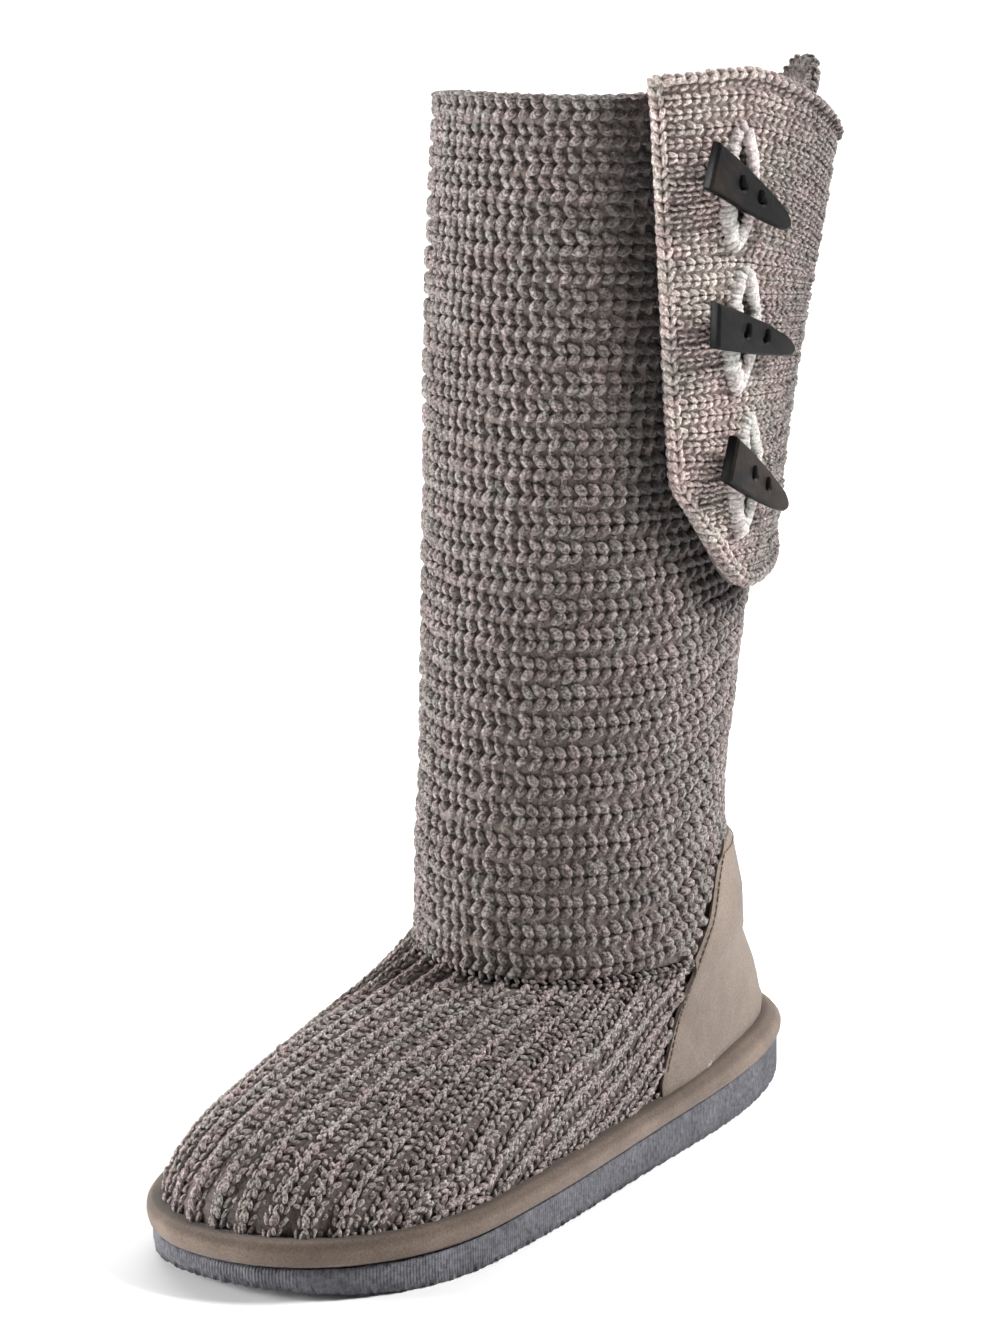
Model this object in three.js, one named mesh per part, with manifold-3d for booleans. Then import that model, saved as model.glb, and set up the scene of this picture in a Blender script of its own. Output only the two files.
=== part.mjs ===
// Knit sweater boot for the left foot: a hollow knit foot and a tall knit shaft on a wedge sole,
// with a suede rand and heel counter, and a flap with three toggles on the outer side of the shaft.
// Millimetres, +Z up, toe towards -Y, heel towards +Y, outer side towards +X, floor at zero.
import * as THREE from 'three';
import { mergeVertices } from 'three/addons/utils/BufferGeometryUtils.js';
import Module from 'manifold-3d';

const wasm = await Module();
wasm.setup();

// Driving sizes
const FOOT_LENGTH = 269;
const BALL_WIDTH = 97.4;
const FEATHER_HEIGHT = 12.3;
const INSTEP_HEIGHT = 61;
const COLLAR_HEIGHT = 328;
const FOOT_WALL = 3.0;
const SHAFT_WALL = 3.6;
const GAP = 0.3;
const SEAM_GAP = 0.5;
const FLAP_GAP = 0.6;

// Mesh density: points round a section and levels up each wall
const ROUND = 48;
const FOOT_LEVELS = 14;
const SHAFT_LEVELS = 12;
const TRACE_STEPS = 160;
const MERGE_DISTANCE = 1e-4;

// How far a cutter runs past what it cuts, and the steps that measure slopes
const CUT_MARGIN = 1;
const TURN_STEP = 0.002;
const FLAP_STEP = 2;

// Sections of the foot from the feather line to the ankle seam, and of the shaft from there to the collar.
// up: share of the height; rise: heel end above toe end in mm; dip: outer side below inner side in mm;
// toe, heel, broad: shares of FOOT_LENGTH from the middle; outer, inner, nose: shares of BALL_WIDTH;
// front and back: roundness of the two ends, 2 is an ellipse and more is squarer.
const COLUMNS = ['up', 'rise', 'dip', 'toe', 'heel', 'outer', 'inner', 'broad', 'nose', 'front', 'back'];
const FOOT_TABLE = [
  [0.000, 6.0, 0.0, -0.500, 0.500, 0.507, -0.493, -0.275, -0.040, 2.20, 2.70],
  [0.190, 5.0, 0.0, -0.501, 0.499, 0.508, -0.494, -0.270, -0.040, 2.20, 2.70],
  [0.322, 4.0, 0.0, -0.489, 0.491, 0.503, -0.493, -0.245, -0.040, 2.15, 2.45],
  [0.446, 3.0, 0.0, -0.463, 0.480, 0.495, -0.486, -0.186, -0.040, 2.10, 2.30],
  [0.559, 2.0, 0.0, -0.420, 0.471, 0.484, -0.474, -0.126, -0.035, 2.05, 2.20],
  [0.661, 1.0, 0.5, -0.361, 0.463, 0.474, -0.462, -0.060, -0.033, 2.00, 2.12],
  [0.754, 0.0, 1.5, -0.290, 0.455, 0.466, -0.455, 0.007, -0.032, 2.00, 2.08],
  [0.836, 0.0, 3.0, -0.213, 0.446, 0.458, -0.455, 0.070, -0.031, 2.00, 2.04],
  [0.918, 0.0, 5.0, -0.128, 0.437, 0.449, -0.470, 0.132, -0.031, 2.00, 2.00],
  [1.000, 0.0, 8.0, -0.041, 0.426, 0.441, -0.503, 0.190, -0.031, 2.00, 2.00],
];
const SHAFT_TABLE = [
  [0.000, 0.0, 8.0, -0.041, 0.426, 0.441, -0.503, 0.190, -0.031, 2.00, 2.00],
  [0.041, 6.0, 4.0, -0.039, 0.416, 0.447, -0.508, 0.190, -0.031, 2.00, 2.00],
  [0.109, 8.0, 1.0, -0.041, 0.405, 0.411, -0.488, 0.184, -0.038, 2.00, 2.00],
  [0.165, 7.6, 0.0, -0.039, 0.403, 0.406, -0.483, 0.182, -0.038, 2.00, 2.00],
  [0.221, 7.2, 0.0, -0.028, 0.409, 0.421, -0.483, 0.191, -0.036, 2.00, 2.00],
  [0.333, 6.4, 0.0, -0.020, 0.420, 0.450, -0.498, 0.201, -0.031, 2.00, 2.00],
  [0.483, 5.0, 0.0, -0.002, 0.437, 0.490, -0.518, 0.217, -0.021, 2.00, 2.00],
  [0.633, 3.6, 0.0, 0.007, 0.443, 0.524, -0.534, 0.225, -0.005, 2.00, 2.00],
  [0.783, 2.0, 0.0, 0.020, 0.455, 0.557, -0.547, 0.238, 0.005, 2.00, 2.00],
  [0.933, 0.6, 0.0, 0.037, 0.468, 0.590, -0.554, 0.253, 0.018, 2.00, 2.00],
  [1.000, 0.0, 0.0, 0.045, 0.474, 0.608, -0.557, 0.259, 0.025, 2.00, 2.00],
];

// Draw of the foot's two edges in at the arch, in mm
const WAIST = { inner: 4.5, outer: 2.0, at: 20, reach: 75, fadeHeight: 45 };

// Sole, rand and insole
const SOLE_GROW = 3.4;
const SOLE_EDGE_ROUND = 1.2;
const INSOLE_THICKNESS = 4;
const RAND_HEIGHT = 8.8;
const RAND_PROFILE = [
  { out: GAP, up: GAP },
  { out: 3.7, up: GAP },
  { out: 4.9, up: 2.2 },
  { out: 5.3, up: 4.5 },
  { out: 4.8, up: 6.8 },
  { out: 3.0, up: 8.4 },
  { out: GAP, up: RAND_HEIGHT },
];
const SOLE_REACH = 150;
const TOE_SPRING = { from: -96, to: -SOLE_REACH, lift: 4.5 };
const ARCH = { from: -22, to: 44, lift: 2.2 };
const HEEL_SPRING = { from: 118, to: SOLE_REACH, lift: 2.6 };
const LIFT_STEPS = 8;
const LUG = { first: -105, last: 118, pitch: 15.9, groove: 4, depth: 2.2, sweep: 9 };

// The collar's rim: a corner stands up behind the flap, and the inner side at the back sags.
// Shares are of the way round from the back by the outer side.
const RIM_PEAK = { share: 0.138, half: 0.045, lift: 9 };
const RIM_SAG = { share: 0.840, half: 0.290, lift: -10 };
const RIM_FADE = 40;

// Heel counter: its front edges slope from the rand up to its top
const COUNTER_THICKNESS = 1.5;
const COUNTER = { lowFront: 20, topFront: 72, top: 90, back: SOLE_REACH, corner: 8, shaftRings: 3 };

// Flap on the outer side, in degrees round from the front of the shaft
const FLAP = { lowAngle: 66, highAngle: 42, backAngle: 152, lowZ: 190, highZ: 333, columns: 18, rows: 13 };
const FLAP_THICKNESS = { body: 6.6, edge: 3.8, back: 1.6, frontSpan: 8, backSpan: 24 };
const FLAP_FLARE = { out: 6.5, angle: 122, spread: 45 };
const FLAP_BOTTOM = [
  { across: 0.00, z: 211 },
  { across: 0.12, z: 194 },
  { across: 0.25, z: 181 },
  { across: 0.36, z: 176 },
  { across: 0.70, z: 180 },
  { across: 1.00, z: 188 },
];
const FLAP_TOP = [
  { across: 0.00, z: 333 },
  { across: 0.25, z: 334.5 },
  { across: 0.42, z: 329 },
  { across: 0.73, z: 312 },
  { across: 1.00, z: 306 },
];

// Toggles over their buttonholes: angle round from the front, height, and turn of the tip below level
const TOGGLES = [
  { angle: 71.5, z: 298.5, turn: 33 },
  { angle: 78.5, z: 255.5, turn: 17 },
  { angle: 86.5, z: 210.5, turn: 31 },
];
const TOGGLE = { length: 36, width: 14.5, thickness: 4.4, tip: 3.4, slant: 4, bevel: 0.8, steps: 5 };
// Where the curves of a toggle's lower and upper side bend, as shares of its half length
const TOGGLE_BEND = { low: 0.4, high: 0.2 };
const TOGGLE_HOLE = { radius: 1.9, at: [-4.5, 4.5] };
const BUTTONHOLE = { width: 6.4, height: 28, depth: 30, steps: 6 };
const EDGING = { width: 3.2, reach: 9.6, crest: 0.5, steps: 12 };
const EDGING_HEIGHT = { outer: 0.9, crest: 1.5, inner: 1.2 };

// Finishes
const FINISH = {
  knit: { color: 0x746b68, roughness: 0.95 },
  flapKnit: { color: 0x89807c, roughness: 0.95 },
  suede: { color: 0xab9e94, roughness: 0.9 },
  randSuede: { color: 0x8c7768, roughness: 0.9 },
  foam: { color: 0x6f7480, roughness: 0.8 },
  fleece: { color: 0xb9aa98, roughness: 1 },
  horn: { color: 0x3f3a38, roughness: 0.5 },
  paleYarn: { color: 0xcdc6c2, roughness: 0.95 },
};

// Real sizes of a table's rows, for a wall that climbs from one height to another
function sections(table, low, high) {
  return table.map((cells) => {
    const row = Object.fromEntries(COLUMNS.map((name, i) => [name, cells[i]]));
    return {
      z: low + (high - low) * row.up,
      rise: row.rise,
      dip: row.dip,
      toe: FOOT_LENGTH * row.toe,
      heel: FOOT_LENGTH * row.heel,
      broad: FOOT_LENGTH * row.broad,
      outer: BALL_WIDTH * row.outer,
      inner: BALL_WIDTH * row.inner,
      nose: BALL_WIDTH * row.nose,
      front: row.front,
      back: row.back,
    };
  });
}

const FOOT = sections(FOOT_TABLE, FEATHER_HEIGHT, INSTEP_HEIGHT);
const SHAFT = sections(SHAFT_TABLE, INSTEP_HEIGHT, COLLAR_HEIGHT);

// Slope at a row that lets no curve overshoot its rows
function slopeAt(rows, i, by, key) {
  const steep = (j) => (rows[j + 1][key] - rows[j][key]) / (rows[j + 1][by] - rows[j][by]);
  if (i === 0) return steep(0);
  if (i === rows.length - 1) return steep(i - 1);
  const before = steep(i - 1);
  const after = steep(i);
  return before * after <= 0 ? 0 : (2 * before * after) / (before + after);
}

// One column of a table, read between its rows along a smooth curve
function between(rows, by, key, at) {
  const last = rows.length - 2;
  const found = rows.findIndex((row, j) => j <= last && at <= rows[j + 1][by]);
  const i = found < 0 ? last : found;
  const span = rows[i + 1][by] - rows[i][by];
  const t = THREE.MathUtils.clamp((at - rows[i][by]) / span, 0, 1);
  const low = rows[i][key];
  const high = rows[i + 1][key];
  const leave = slopeAt(rows, i, by, key) * span;
  const arrive = slopeAt(rows, i + 1, by, key) * span;
  const bend = leave * t * (1 - t) ** 2 - arrive * t * t * (1 - t);
  return low + (high - low) * t * t * (3 - 2 * t) + bend;
}

// The section of a wall at a height
function sectionAt(rows, z) {
  const section = Object.fromEntries(Object.keys(rows[0]).map((key) => [key, between(rows, 'z', key, z)]));
  section.z = z;
  return section;
}

// How far the arch draws the foot's edge in, at a place along the foot and a height
function waistAt(y, z, depth) {
  const along = (y - WAIST.at) / WAIST.reach;
  const fade = THREE.MathUtils.clamp(1 - (z - FEATHER_HEIGHT) / WAIST.fadeHeight, 0, 1);
  return Math.abs(along) < 1 ? depth * fade * Math.cos((along * Math.PI) / 2) ** 2 : 0;
}

// A point of a section's outline: turn 0 is the heel, a quarter the outer side, a half the toe
function outlinePoint(section, turn) {
  const angle = turn * 2 * Math.PI;
  const along = Math.cos(angle);
  const across = Math.sin(angle);
  const power = 2 / (along < 0 ? section.front : section.back);
  const reach = (along < 0 ? section.toe : section.heel) - section.broad;
  const y = section.broad + reach * Math.abs(along) ** power;
  const middle = (section.outer + section.inner) / 2;
  const half = (section.outer - section.inner) / 2;
  const forward = along < 0 ? Math.abs(along) ** power : 0;
  const side = Math.sign(across) * Math.abs(across) ** power;
  const waist = waistAt(y, section.z, side > 0 ? WAIST.outer : WAIST.inner);
  const x = middle + (section.nose - middle) * forward ** 2 + (half - waist) * side;
  return new THREE.Vector2(x, y);
}

// A section's outline as evenly spaced points from heel to toe down the outer side and back up the inner
function outline(section, count = ROUND) {
  const points = [];
  for (const half of [0, 0.5]) {
    const trace = [];
    const lengths = [0];
    for (let i = 0; i <= TRACE_STEPS; i += 1) {
      trace.push(outlinePoint(section, half + (0.5 * i) / TRACE_STEPS));
      if (i > 0) lengths.push(lengths[i - 1] + trace[i].distanceTo(trace[i - 1]));
    }
    for (let k = 0; k < count / 2; k += 1) {
      const want = (lengths[TRACE_STEPS] * k) / (count / 2);
      const i = Math.max(1, lengths.findIndex((length) => length >= want));
      const t = (want - lengths[i - 1]) / (lengths[i] - lengths[i - 1]);
      points.push(trace[i - 1].clone().lerp(trace[i], t));
    }
  }
  return points;
}

// Outward direction at each point of an outline, which runs clockwise seen from above
function outward(points) {
  return points.map((point, i) => {
    const ahead = points[(i + 1) % points.length];
    const behind = points[(i + points.length - 1) % points.length];
    const along = ahead.clone().sub(behind).normalize();
    return new THREE.Vector2(-along.y, along.x);
  });
}

// Height of a section's plane over one of its points: it tips with its rise and its dip
function planeHeight(section, point) {
  const middle = (section.toe + section.heel) / 2;
  const tipped = (section.rise * (point.y - middle)) / (section.heel - section.toe);
  return section.z + tipped - (section.dip * point.x) / (section.outer - section.inner);
}

// A ring of a section's outline, moved out and up
function ring(section, out = 0, up = 0) {
  const points = outline(section);
  const normals = outward(points);
  return points.map((point, i) => {
    const moved = point.clone().addScaledVector(normals[i], out);
    return new THREE.Vector3(moved.x, moved.y, planeHeight(section, point) + up);
  });
}

// Triangles as an indexed geometry, with its faces turned outwards
function geometryOf(points, faces) {
  const signed = faces.reduce((sum, [a, b, c]) => {
    const cross = new THREE.Vector3().crossVectors(points[b], points[c]);
    return sum + points[a].dot(cross);
  }, 0);
  const turned = signed < 0 ? faces.map(([a, b, c]) => [a, c, b]) : faces;
  const geometry = new THREE.BufferGeometry();
  geometry.setAttribute('position', new THREE.Float32BufferAttribute(points.flatMap((p) => p.toArray()), 3));
  geometry.setIndex(turned.flat());
  return geometry;
}

// Two triangles for each cell between neighbouring rings
function ringFaces(ringCount, size, closed) {
  const faces = [];
  const spans = closed ? ringCount : ringCount - 1;
  for (let i = 0; i < spans; i += 1) {
    for (let j = 0; j < size; j += 1) {
      const a = i * size + j;
      const b = i * size + ((j + 1) % size);
      const c = ((i + 1) % ringCount) * size + ((j + 1) % size);
      const d = ((i + 1) % ringCount) * size + j;
      faces.push([a, b, c], [a, c, d]);
    }
  }
  return faces;
}

// A hollow wall: rings that run up the outside, down the inside and close on themselves
function hoop(rings) {
  return geometryOf(rings.flat(), ringFaces(rings.length, rings[0].length, true));
}

// Triangles of a flat end, wound with its outline or against it
function endFaces(points, against) {
  const flat = points.map((point) => new THREE.Vector2(point.x, point.y));
  const turn = THREE.ShapeUtils.area(flat);
  return THREE.ShapeUtils.triangulateShape(flat, []).map(([a, b, c]) => {
    const withOutline = THREE.ShapeUtils.area([flat[a], flat[b], flat[c]]) * turn > 0;
    return withOutline === against ? [a, c, b] : [a, b, c];
  });
}

// A solid stack of rings, closed by flat ends
function stack(rings) {
  const size = rings[0].length;
  const top = (rings.length - 1) * size;
  const low = endFaces(rings[0], true);
  const high = endFaces(rings[rings.length - 1], false).map((face) => face.map((i) => top + i));
  return geometryOf(rings.flat(), [...ringFaces(rings.length, size, false), ...low, ...high]);
}

// Solids for joining and cutting
function solidOf(geometry) {
  const bare = geometry.clone();
  bare.deleteAttribute('normal');
  bare.deleteAttribute('uv');
  const merged = mergeVertices(bare, MERGE_DISTANCE);
  const vertProperties = new Float32Array(merged.attributes.position.array);
  const triVerts = new Uint32Array(merged.index.array);
  return new wasm.Manifold(new wasm.Mesh({ numProp: 3, vertProperties, triVerts }));
}

function geometryFrom(solid) {
  const mesh = solid.getMesh();
  const geometry = new THREE.BufferGeometry();
  geometry.setAttribute('position', new THREE.BufferAttribute(mesh.vertProperties, 3));
  geometry.setIndex(new THREE.BufferAttribute(mesh.triVerts, 1));
  return geometry;
}

// Heights of a wall's levels, spread over the rows of its table
function levels(rows, count) {
  return Array.from({ length: count }, (_, k) => {
    const place = (k * (rows.length - 1)) / (count - 1);
    const i = Math.min(Math.floor(place), rows.length - 2);
    return THREE.MathUtils.lerp(rows[i].z, rows[i + 1].z, place - i);
  });
}

// The inside of a wall: each point of the outer rings moved in square to the surface
function lined(rings, thickness) {
  const size = rings[0].length;
  return rings.map((points, i) => points.map((point, j) => {
    const above = rings[Math.min(i + 1, rings.length - 1)][j];
    const below = rings[Math.max(i - 1, 0)][j];
    const climb = above.clone().sub(below);
    const along = points[(j + 1) % size].clone().sub(points[(j + size - 1) % size]);
    const normal = new THREE.Vector3().crossVectors(along, climb).normalize();
    const end = i === 0 || i === rings.length - 1;
    if (end) normal.setZ(0).normalize();
    return point.clone().addScaledVector(normal, thickness);
  }));
}

// A hollow wall from its outer rings and its thickness
function wall(rings, thickness) {
  return hoop([...rings, ...lined(rings, thickness).reverse()]);
}

function upperGeometry() {
  const rings = levels(FOOT, FOOT_LEVELS).map((z) => ring(sectionAt(FOOT, z)));
  rings[0] = ring(FOOT[0], 0, GAP);
  return wall(rings, FOOT_WALL);
}

// Lift of the collar's rim at a share of the way round
function rimLift(share) {
  return [RIM_PEAK, RIM_SAG].reduce((sum, { share: middle, half, lift }) => {
    const apart = Math.abs(share - middle);
    const away = Math.min(apart, 1 - apart) / half;
    return away < 1 ? sum + lift * Math.cos((away * Math.PI) / 2) ** 2 : sum;
  }, 0);
}

function shaftRing(z) {
  const points = ring(sectionAt(SHAFT, z));
  const fade = THREE.MathUtils.clamp(1 - (COLLAR_HEIGHT - z) / RIM_FADE, 0, 1);
  points.forEach((point, j) => {
    point.z += fade * rimLift(j / ROUND);
  });
  return points;
}

function shaftGeometry() {
  const rings = levels(SHAFT, SHAFT_LEVELS).map(shaftRing);
  rings[0] = ring(SHAFT[0], 0, SEAM_GAP);
  return wall(rings, SHAFT_WALL);
}

function randGeometry() {
  return hoop(RAND_PROFILE.map(({ out, up }) => ring(sectionAt(FOOT, FEATHER_HEIGHT + up), out)));
}

function insoleGeometry() {
  const inset = -(FOOT_WALL + GAP);
  return stack([ring(FOOT[0], inset, GAP), ring(FOOT[0], inset, GAP + INSOLE_THICKNESS)]);
}

// A bar across the sole, from a profile given along the sole and up
function crossBar(profile) {
  const shape = new THREE.Shape(profile.map(([along, up]) => new THREE.Vector2(along, up)));
  const bar = new THREE.ExtrudeGeometry(shape, { depth: 2 * SOLE_REACH, bevelEnabled: false });
  const turn = new THREE.Matrix4().set(0, 0, 1, -SOLE_REACH, 1, 0, 0, 0, 0, 1, 0, 0, 0, 0, 0, 1);
  return solidOf(bar.applyMatrix4(turn));
}

// What the sole leaves free above the floor: a curve that rises by its lift, and falls again for the arch
function liftBar({ from, to, lift }, falls) {
  const profile = [];
  for (let i = 0; i <= LIFT_STEPS; i += 1) {
    const share = i / LIFT_STEPS;
    const rise = falls ? Math.sin(share * Math.PI) ** 2 : share ** 2;
    profile.push([THREE.MathUtils.lerp(from, to, share), lift * rise]);
  }
  return crossBar([...profile, [to, -CUT_MARGIN], [from, -CUT_MARGIN]]);
}

// One groove of the tread: a shallow chevron across the sole
function treadGroove(y) {
  const half = LUG.groove / 2;
  const reach = BALL_WIDTH;
  const shape = new THREE.Shape([
    new THREE.Vector2(-reach, y + LUG.sweep - half),
    new THREE.Vector2(0, y - half),
    new THREE.Vector2(reach, y + LUG.sweep - half),
    new THREE.Vector2(reach, y + LUG.sweep + half),
    new THREE.Vector2(0, y + half),
    new THREE.Vector2(-reach, y + LUG.sweep + half),
  ]);
  const bar = new THREE.ExtrudeGeometry(shape, { depth: LUG.depth + CUT_MARGIN, bevelEnabled: false });
  return solidOf(bar.translate(0, 0, -CUT_MARGIN));
}

function outsoleGeometry() {
  const flat = { ...FOOT[0], rise: 0 };
  const sole = solidOf(stack([
    ring(flat, SOLE_GROW - SOLE_EDGE_ROUND, -FEATHER_HEIGHT),
    ring(flat, SOLE_GROW, SOLE_EDGE_ROUND - FEATHER_HEIGHT),
    ring(FOOT[0], SOLE_GROW, 0),
  ]));
  let cut = sole.subtract(liftBar(TOE_SPRING, false)).subtract(liftBar(HEEL_SPRING, false));
  cut = cut.subtract(liftBar(ARCH, true));
  for (let y = LUG.first; y <= LUG.last; y += LUG.pitch) cut = cut.subtract(treadGroove(y));
  return geometryFrom(cut);
}

// Heel counter: a thin shell over foot and shaft, kept only behind its sloping front edges
function counterGeometry() {
  const low = FEATHER_HEIGHT + RAND_HEIGHT;
  const footHeights = levels(FOOT, FOOT_LEVELS).slice(1);
  const shaftHeights = levels(SHAFT, SHAFT_LEVELS).slice(1, 1 + COUNTER.shaftRings);
  const climb = [
    ...footHeights.map((z) => sectionAt(FOOT, z)),
    ...shaftHeights.map((z) => sectionAt(SHAFT, z)),
  ];
  const inside = climb.map((section) => ring(section, GAP));
  const outside = climb.map((section) => ring(section, GAP + COUNTER_THICKNESS));
  const shell = solidOf(hoop([...inside, ...outside.reverse()]));
  const slope = FOOT_TABLE[0][COLUMNS.indexOf('rise')] / FOOT_LENGTH;
  const shape = new THREE.Shape();
  shape.moveTo(COUNTER.lowFront, low + GAP + slope * COUNTER.lowFront);
  shape.lineTo(COUNTER.topFront - COUNTER.corner, COUNTER.top - COUNTER.corner);
  shape.quadraticCurveTo(COUNTER.topFront, COUNTER.top, COUNTER.topFront + COUNTER.corner, COUNTER.top);
  shape.lineTo(COUNTER.back, COUNTER.top);
  shape.lineTo(COUNTER.back, low + GAP + slope * COUNTER.back);
  const cutter = crossBar(shape.getPoints(LIFT_STEPS).map((p) => [p.x, p.y]));
  return geometryFrom(shell.intersect(cutter));
}

// A point on the shaft's outside at an angle round from the front and a height, moved out
function shaftPoint(angle, z, out) {
  const section = sectionAt(SHAFT, Math.min(z, COLLAR_HEIGHT));
  const turn = (180 - angle) / 360;
  const point = outlinePoint(section, turn);
  const ahead = outlinePoint(section, turn + TURN_STEP);
  const along = ahead.sub(outlinePoint(section, turn - TURN_STEP)).normalize();
  const normal = new THREE.Vector2(-along.y, along.x);
  point.addScaledVector(normal, out);
  return new THREE.Vector3(point.x, point.y, z);
}

// Angle of the flap's free edge at a height
function flapEdgeAngle(z) {
  const share = THREE.MathUtils.clamp((z - FLAP.lowZ) / (FLAP.highZ - FLAP.lowZ), 0, 1);
  return THREE.MathUtils.lerp(FLAP.lowAngle, FLAP.highAngle, share);
}

// Thickness of the flap: thinner at the free edge, flaring out high on the outer side, thin at the back
function flapThickness(angle, z) {
  const edge = flapEdgeAngle(z);
  const front = THREE.MathUtils.smoothstep(angle, edge, edge + FLAP_THICKNESS.frontSpan);
  const back = THREE.MathUtils.smoothstep(FLAP.backAngle - angle, 0, FLAP_THICKNESS.backSpan);
  const climb = THREE.MathUtils.smoothstep(z, FLAP.lowZ, FLAP.highZ);
  const away = (angle - FLAP_FLARE.angle) / FLAP_FLARE.spread;
  const flare = Math.abs(away) < 1 ? FLAP_FLARE.out * climb * Math.cos((away * Math.PI) / 2) ** 2 : 0;
  const body = THREE.MathUtils.lerp(FLAP_THICKNESS.edge, FLAP_THICKNESS.body, front) + flare;
  return THREE.MathUtils.lerp(FLAP_THICKNESS.back, body, back);
}

// A point over the flap's outside
function flapPoint(angle, z, out) {
  return shaftPoint(angle, z, FLAP_GAP + flapThickness(angle, z) + out);
}

// Outward direction of the flap at a place
function flapNormal(angle, z) {
  const round = flapPoint(angle + FLAP_STEP, z, 0).sub(flapPoint(angle - FLAP_STEP, z, 0));
  const climb = flapPoint(angle, z + FLAP_STEP, 0).sub(flapPoint(angle, z - FLAP_STEP, 0));
  return round.cross(climb).normalize();
}

// A lens with pointed ends, as points round its outline
function lens(width, height, steps) {
  const points = [];
  for (let i = 0; i < 2 * steps; i += 1) {
    const share = (i % steps) / steps;
    const side = i < steps ? 1 : -1;
    const along = side * (share - 0.5) * height;
    points.push(new THREE.Vector2((side * width * Math.sin(share * Math.PI)) / 2, along));
  }
  return points;
}

// Places a shape drawn in a flat sheet onto the flap: the sheet's x runs round to the back, its y runs up
function ontoFlap({ angle, z }, out) {
  const normal = flapNormal(angle, z);
  const round = new THREE.Vector3(0, 0, 1).cross(normal).normalize();
  const up = normal.clone().cross(round);
  const place = flapPoint(angle, z, 0).addScaledVector(normal, out);
  return new THREE.Matrix4().makeBasis(round, up, normal).setPosition(place);
}

function flapGeometry() {
  const points = [];
  const { columns, rows } = FLAP;
  for (const face of ['inside', 'outside']) {
    for (let i = 0; i <= rows; i += 1) {
      for (let j = 0; j <= columns; j += 1) {
        const across = j / columns;
        const low = between(FLAP_BOTTOM, 'across', 'z', across);
        const high = between(FLAP_TOP, 'across', 'z', across);
        const z = THREE.MathUtils.lerp(low, high, i / rows);
        const angle = THREE.MathUtils.lerp(flapEdgeAngle(z), FLAP.backAngle, across);
        points.push(face === 'inside' ? shaftPoint(angle, z, FLAP_GAP) : flapPoint(angle, z, 0));
      }
    }
  }
  const wide = columns + 1;
  const skip = wide * (rows + 1);
  const faces = [];
  const cell = (a, b, c, d) => faces.push([a, b, c], [a, c, d]);
  for (let i = 0; i < rows; i += 1) {
    for (let j = 0; j < columns; j += 1) {
      const a = i * wide + j;
      cell(a, a + wide, a + wide + 1, a + 1);
      cell(skip + a, skip + a + 1, skip + a + wide + 1, skip + a + wide);
    }
  }
  for (let i = 0; i < rows; i += 1) {
    const left = i * wide;
    const right = left + columns;
    cell(left, skip + left, skip + left + wide, left + wide);
    cell(right, right + wide, skip + right + wide, skip + right);
  }
  for (let j = 0; j < columns; j += 1) {
    const top = rows * wide + j;
    cell(j, j + 1, skip + j + 1, skip + j);
    cell(top, skip + top, skip + top + 1, top + 1);
  }
  let flap = solidOf(geometryOf(points, faces));
  for (const place of TOGGLES) {
    const shape = new THREE.Shape(lens(BUTTONHOLE.width, BUTTONHOLE.height, BUTTONHOLE.steps));
    const slit = new THREE.ExtrudeGeometry(shape, { depth: BUTTONHOLE.depth, bevelEnabled: false });
    slit.translate(0, 0, -BUTTONHOLE.depth / 2).applyMatrix4(ontoFlap(place, 0));
    flap = flap.subtract(solidOf(slit));
  }
  return geometryFrom(flap);
}

// Degrees round the shaft for a distance across the flap at a place
function degreesFor(distance, { angle, z }) {
  const apart = flapPoint(angle + FLAP_STEP, z, 0).distanceTo(flapPoint(angle - FLAP_STEP, z, 0));
  return (distance * 2 * FLAP_STEP) / apart;
}

// The pale knitted edge round a buttonhole: a lens-shaped band that follows the flap's outside
function edgingGeometry(place) {
  const near = lens(BUTTONHOLE.width, BUTTONHOLE.height, EDGING.steps);
  const far = lens(BUTTONHOLE.width + 2 * EDGING.width, BUTTONHOLE.height + EDGING.reach, EDGING.steps);
  const onFlap = (point, out) => {
    const angle = place.angle + degreesFor(point.x, place);
    return flapPoint(angle, place.z + point.y, GAP + out);
  };
  return hoop([
    near.map((point) => onFlap(point, 0)),
    far.map((point) => onFlap(point, 0)),
    far.map((point) => onFlap(point, EDGING_HEIGHT.outer)),
    near.map((point, i) => onFlap(point.clone().lerp(far[i], EDGING.crest), EDGING_HEIGHT.crest)),
    near.map((point) => onFlap(point, EDGING_HEIGHT.inner)),
  ]);
}

// A toggle: a flat horn plate, cut off at a slant at one end and drawn to a blunt tip at the other
function toggleGeometry(place) {
  const half = TOGGLE.length / 2 - TOGGLE.bevel;
  const side = TOGGLE.width / 2 - TOGGLE.bevel;
  const shape = new THREE.Shape();
  shape.moveTo(-half - TOGGLE.slant / 2, side);
  shape.lineTo(-half + TOGGLE.slant / 2, -side);
  shape.quadraticCurveTo(half * TOGGLE_BEND.low, -side, half, -TOGGLE.tip);
  shape.quadraticCurveTo(half + TOGGLE.tip, 0, half - TOGGLE.tip, TOGGLE.tip);
  shape.quadraticCurveTo(half * TOGGLE_BEND.high, side, -half - TOGGLE.slant / 2, side);
  for (const at of TOGGLE_HOLE.at) {
    const hole = new THREE.Path();
    hole.absarc(at, 0, TOGGLE_HOLE.radius, 0, 2 * Math.PI, true);
    shape.holes.push(hole);
  }
  const plate = new THREE.ExtrudeGeometry(shape, {
    depth: TOGGLE.thickness - 2 * TOGGLE.bevel,
    bevelThickness: TOGGLE.bevel,
    bevelSize: TOGGLE.bevel,
    bevelSegments: 1,
    curveSegments: TOGGLE.steps,
  });
  const lift = GAP + EDGING_HEIGHT.crest + GAP + TOGGLE.bevel;
  plate.rotateZ(-THREE.MathUtils.degToRad(place.turn));
  return plate.applyMatrix4(ontoFlap(place, lift));
}

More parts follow.
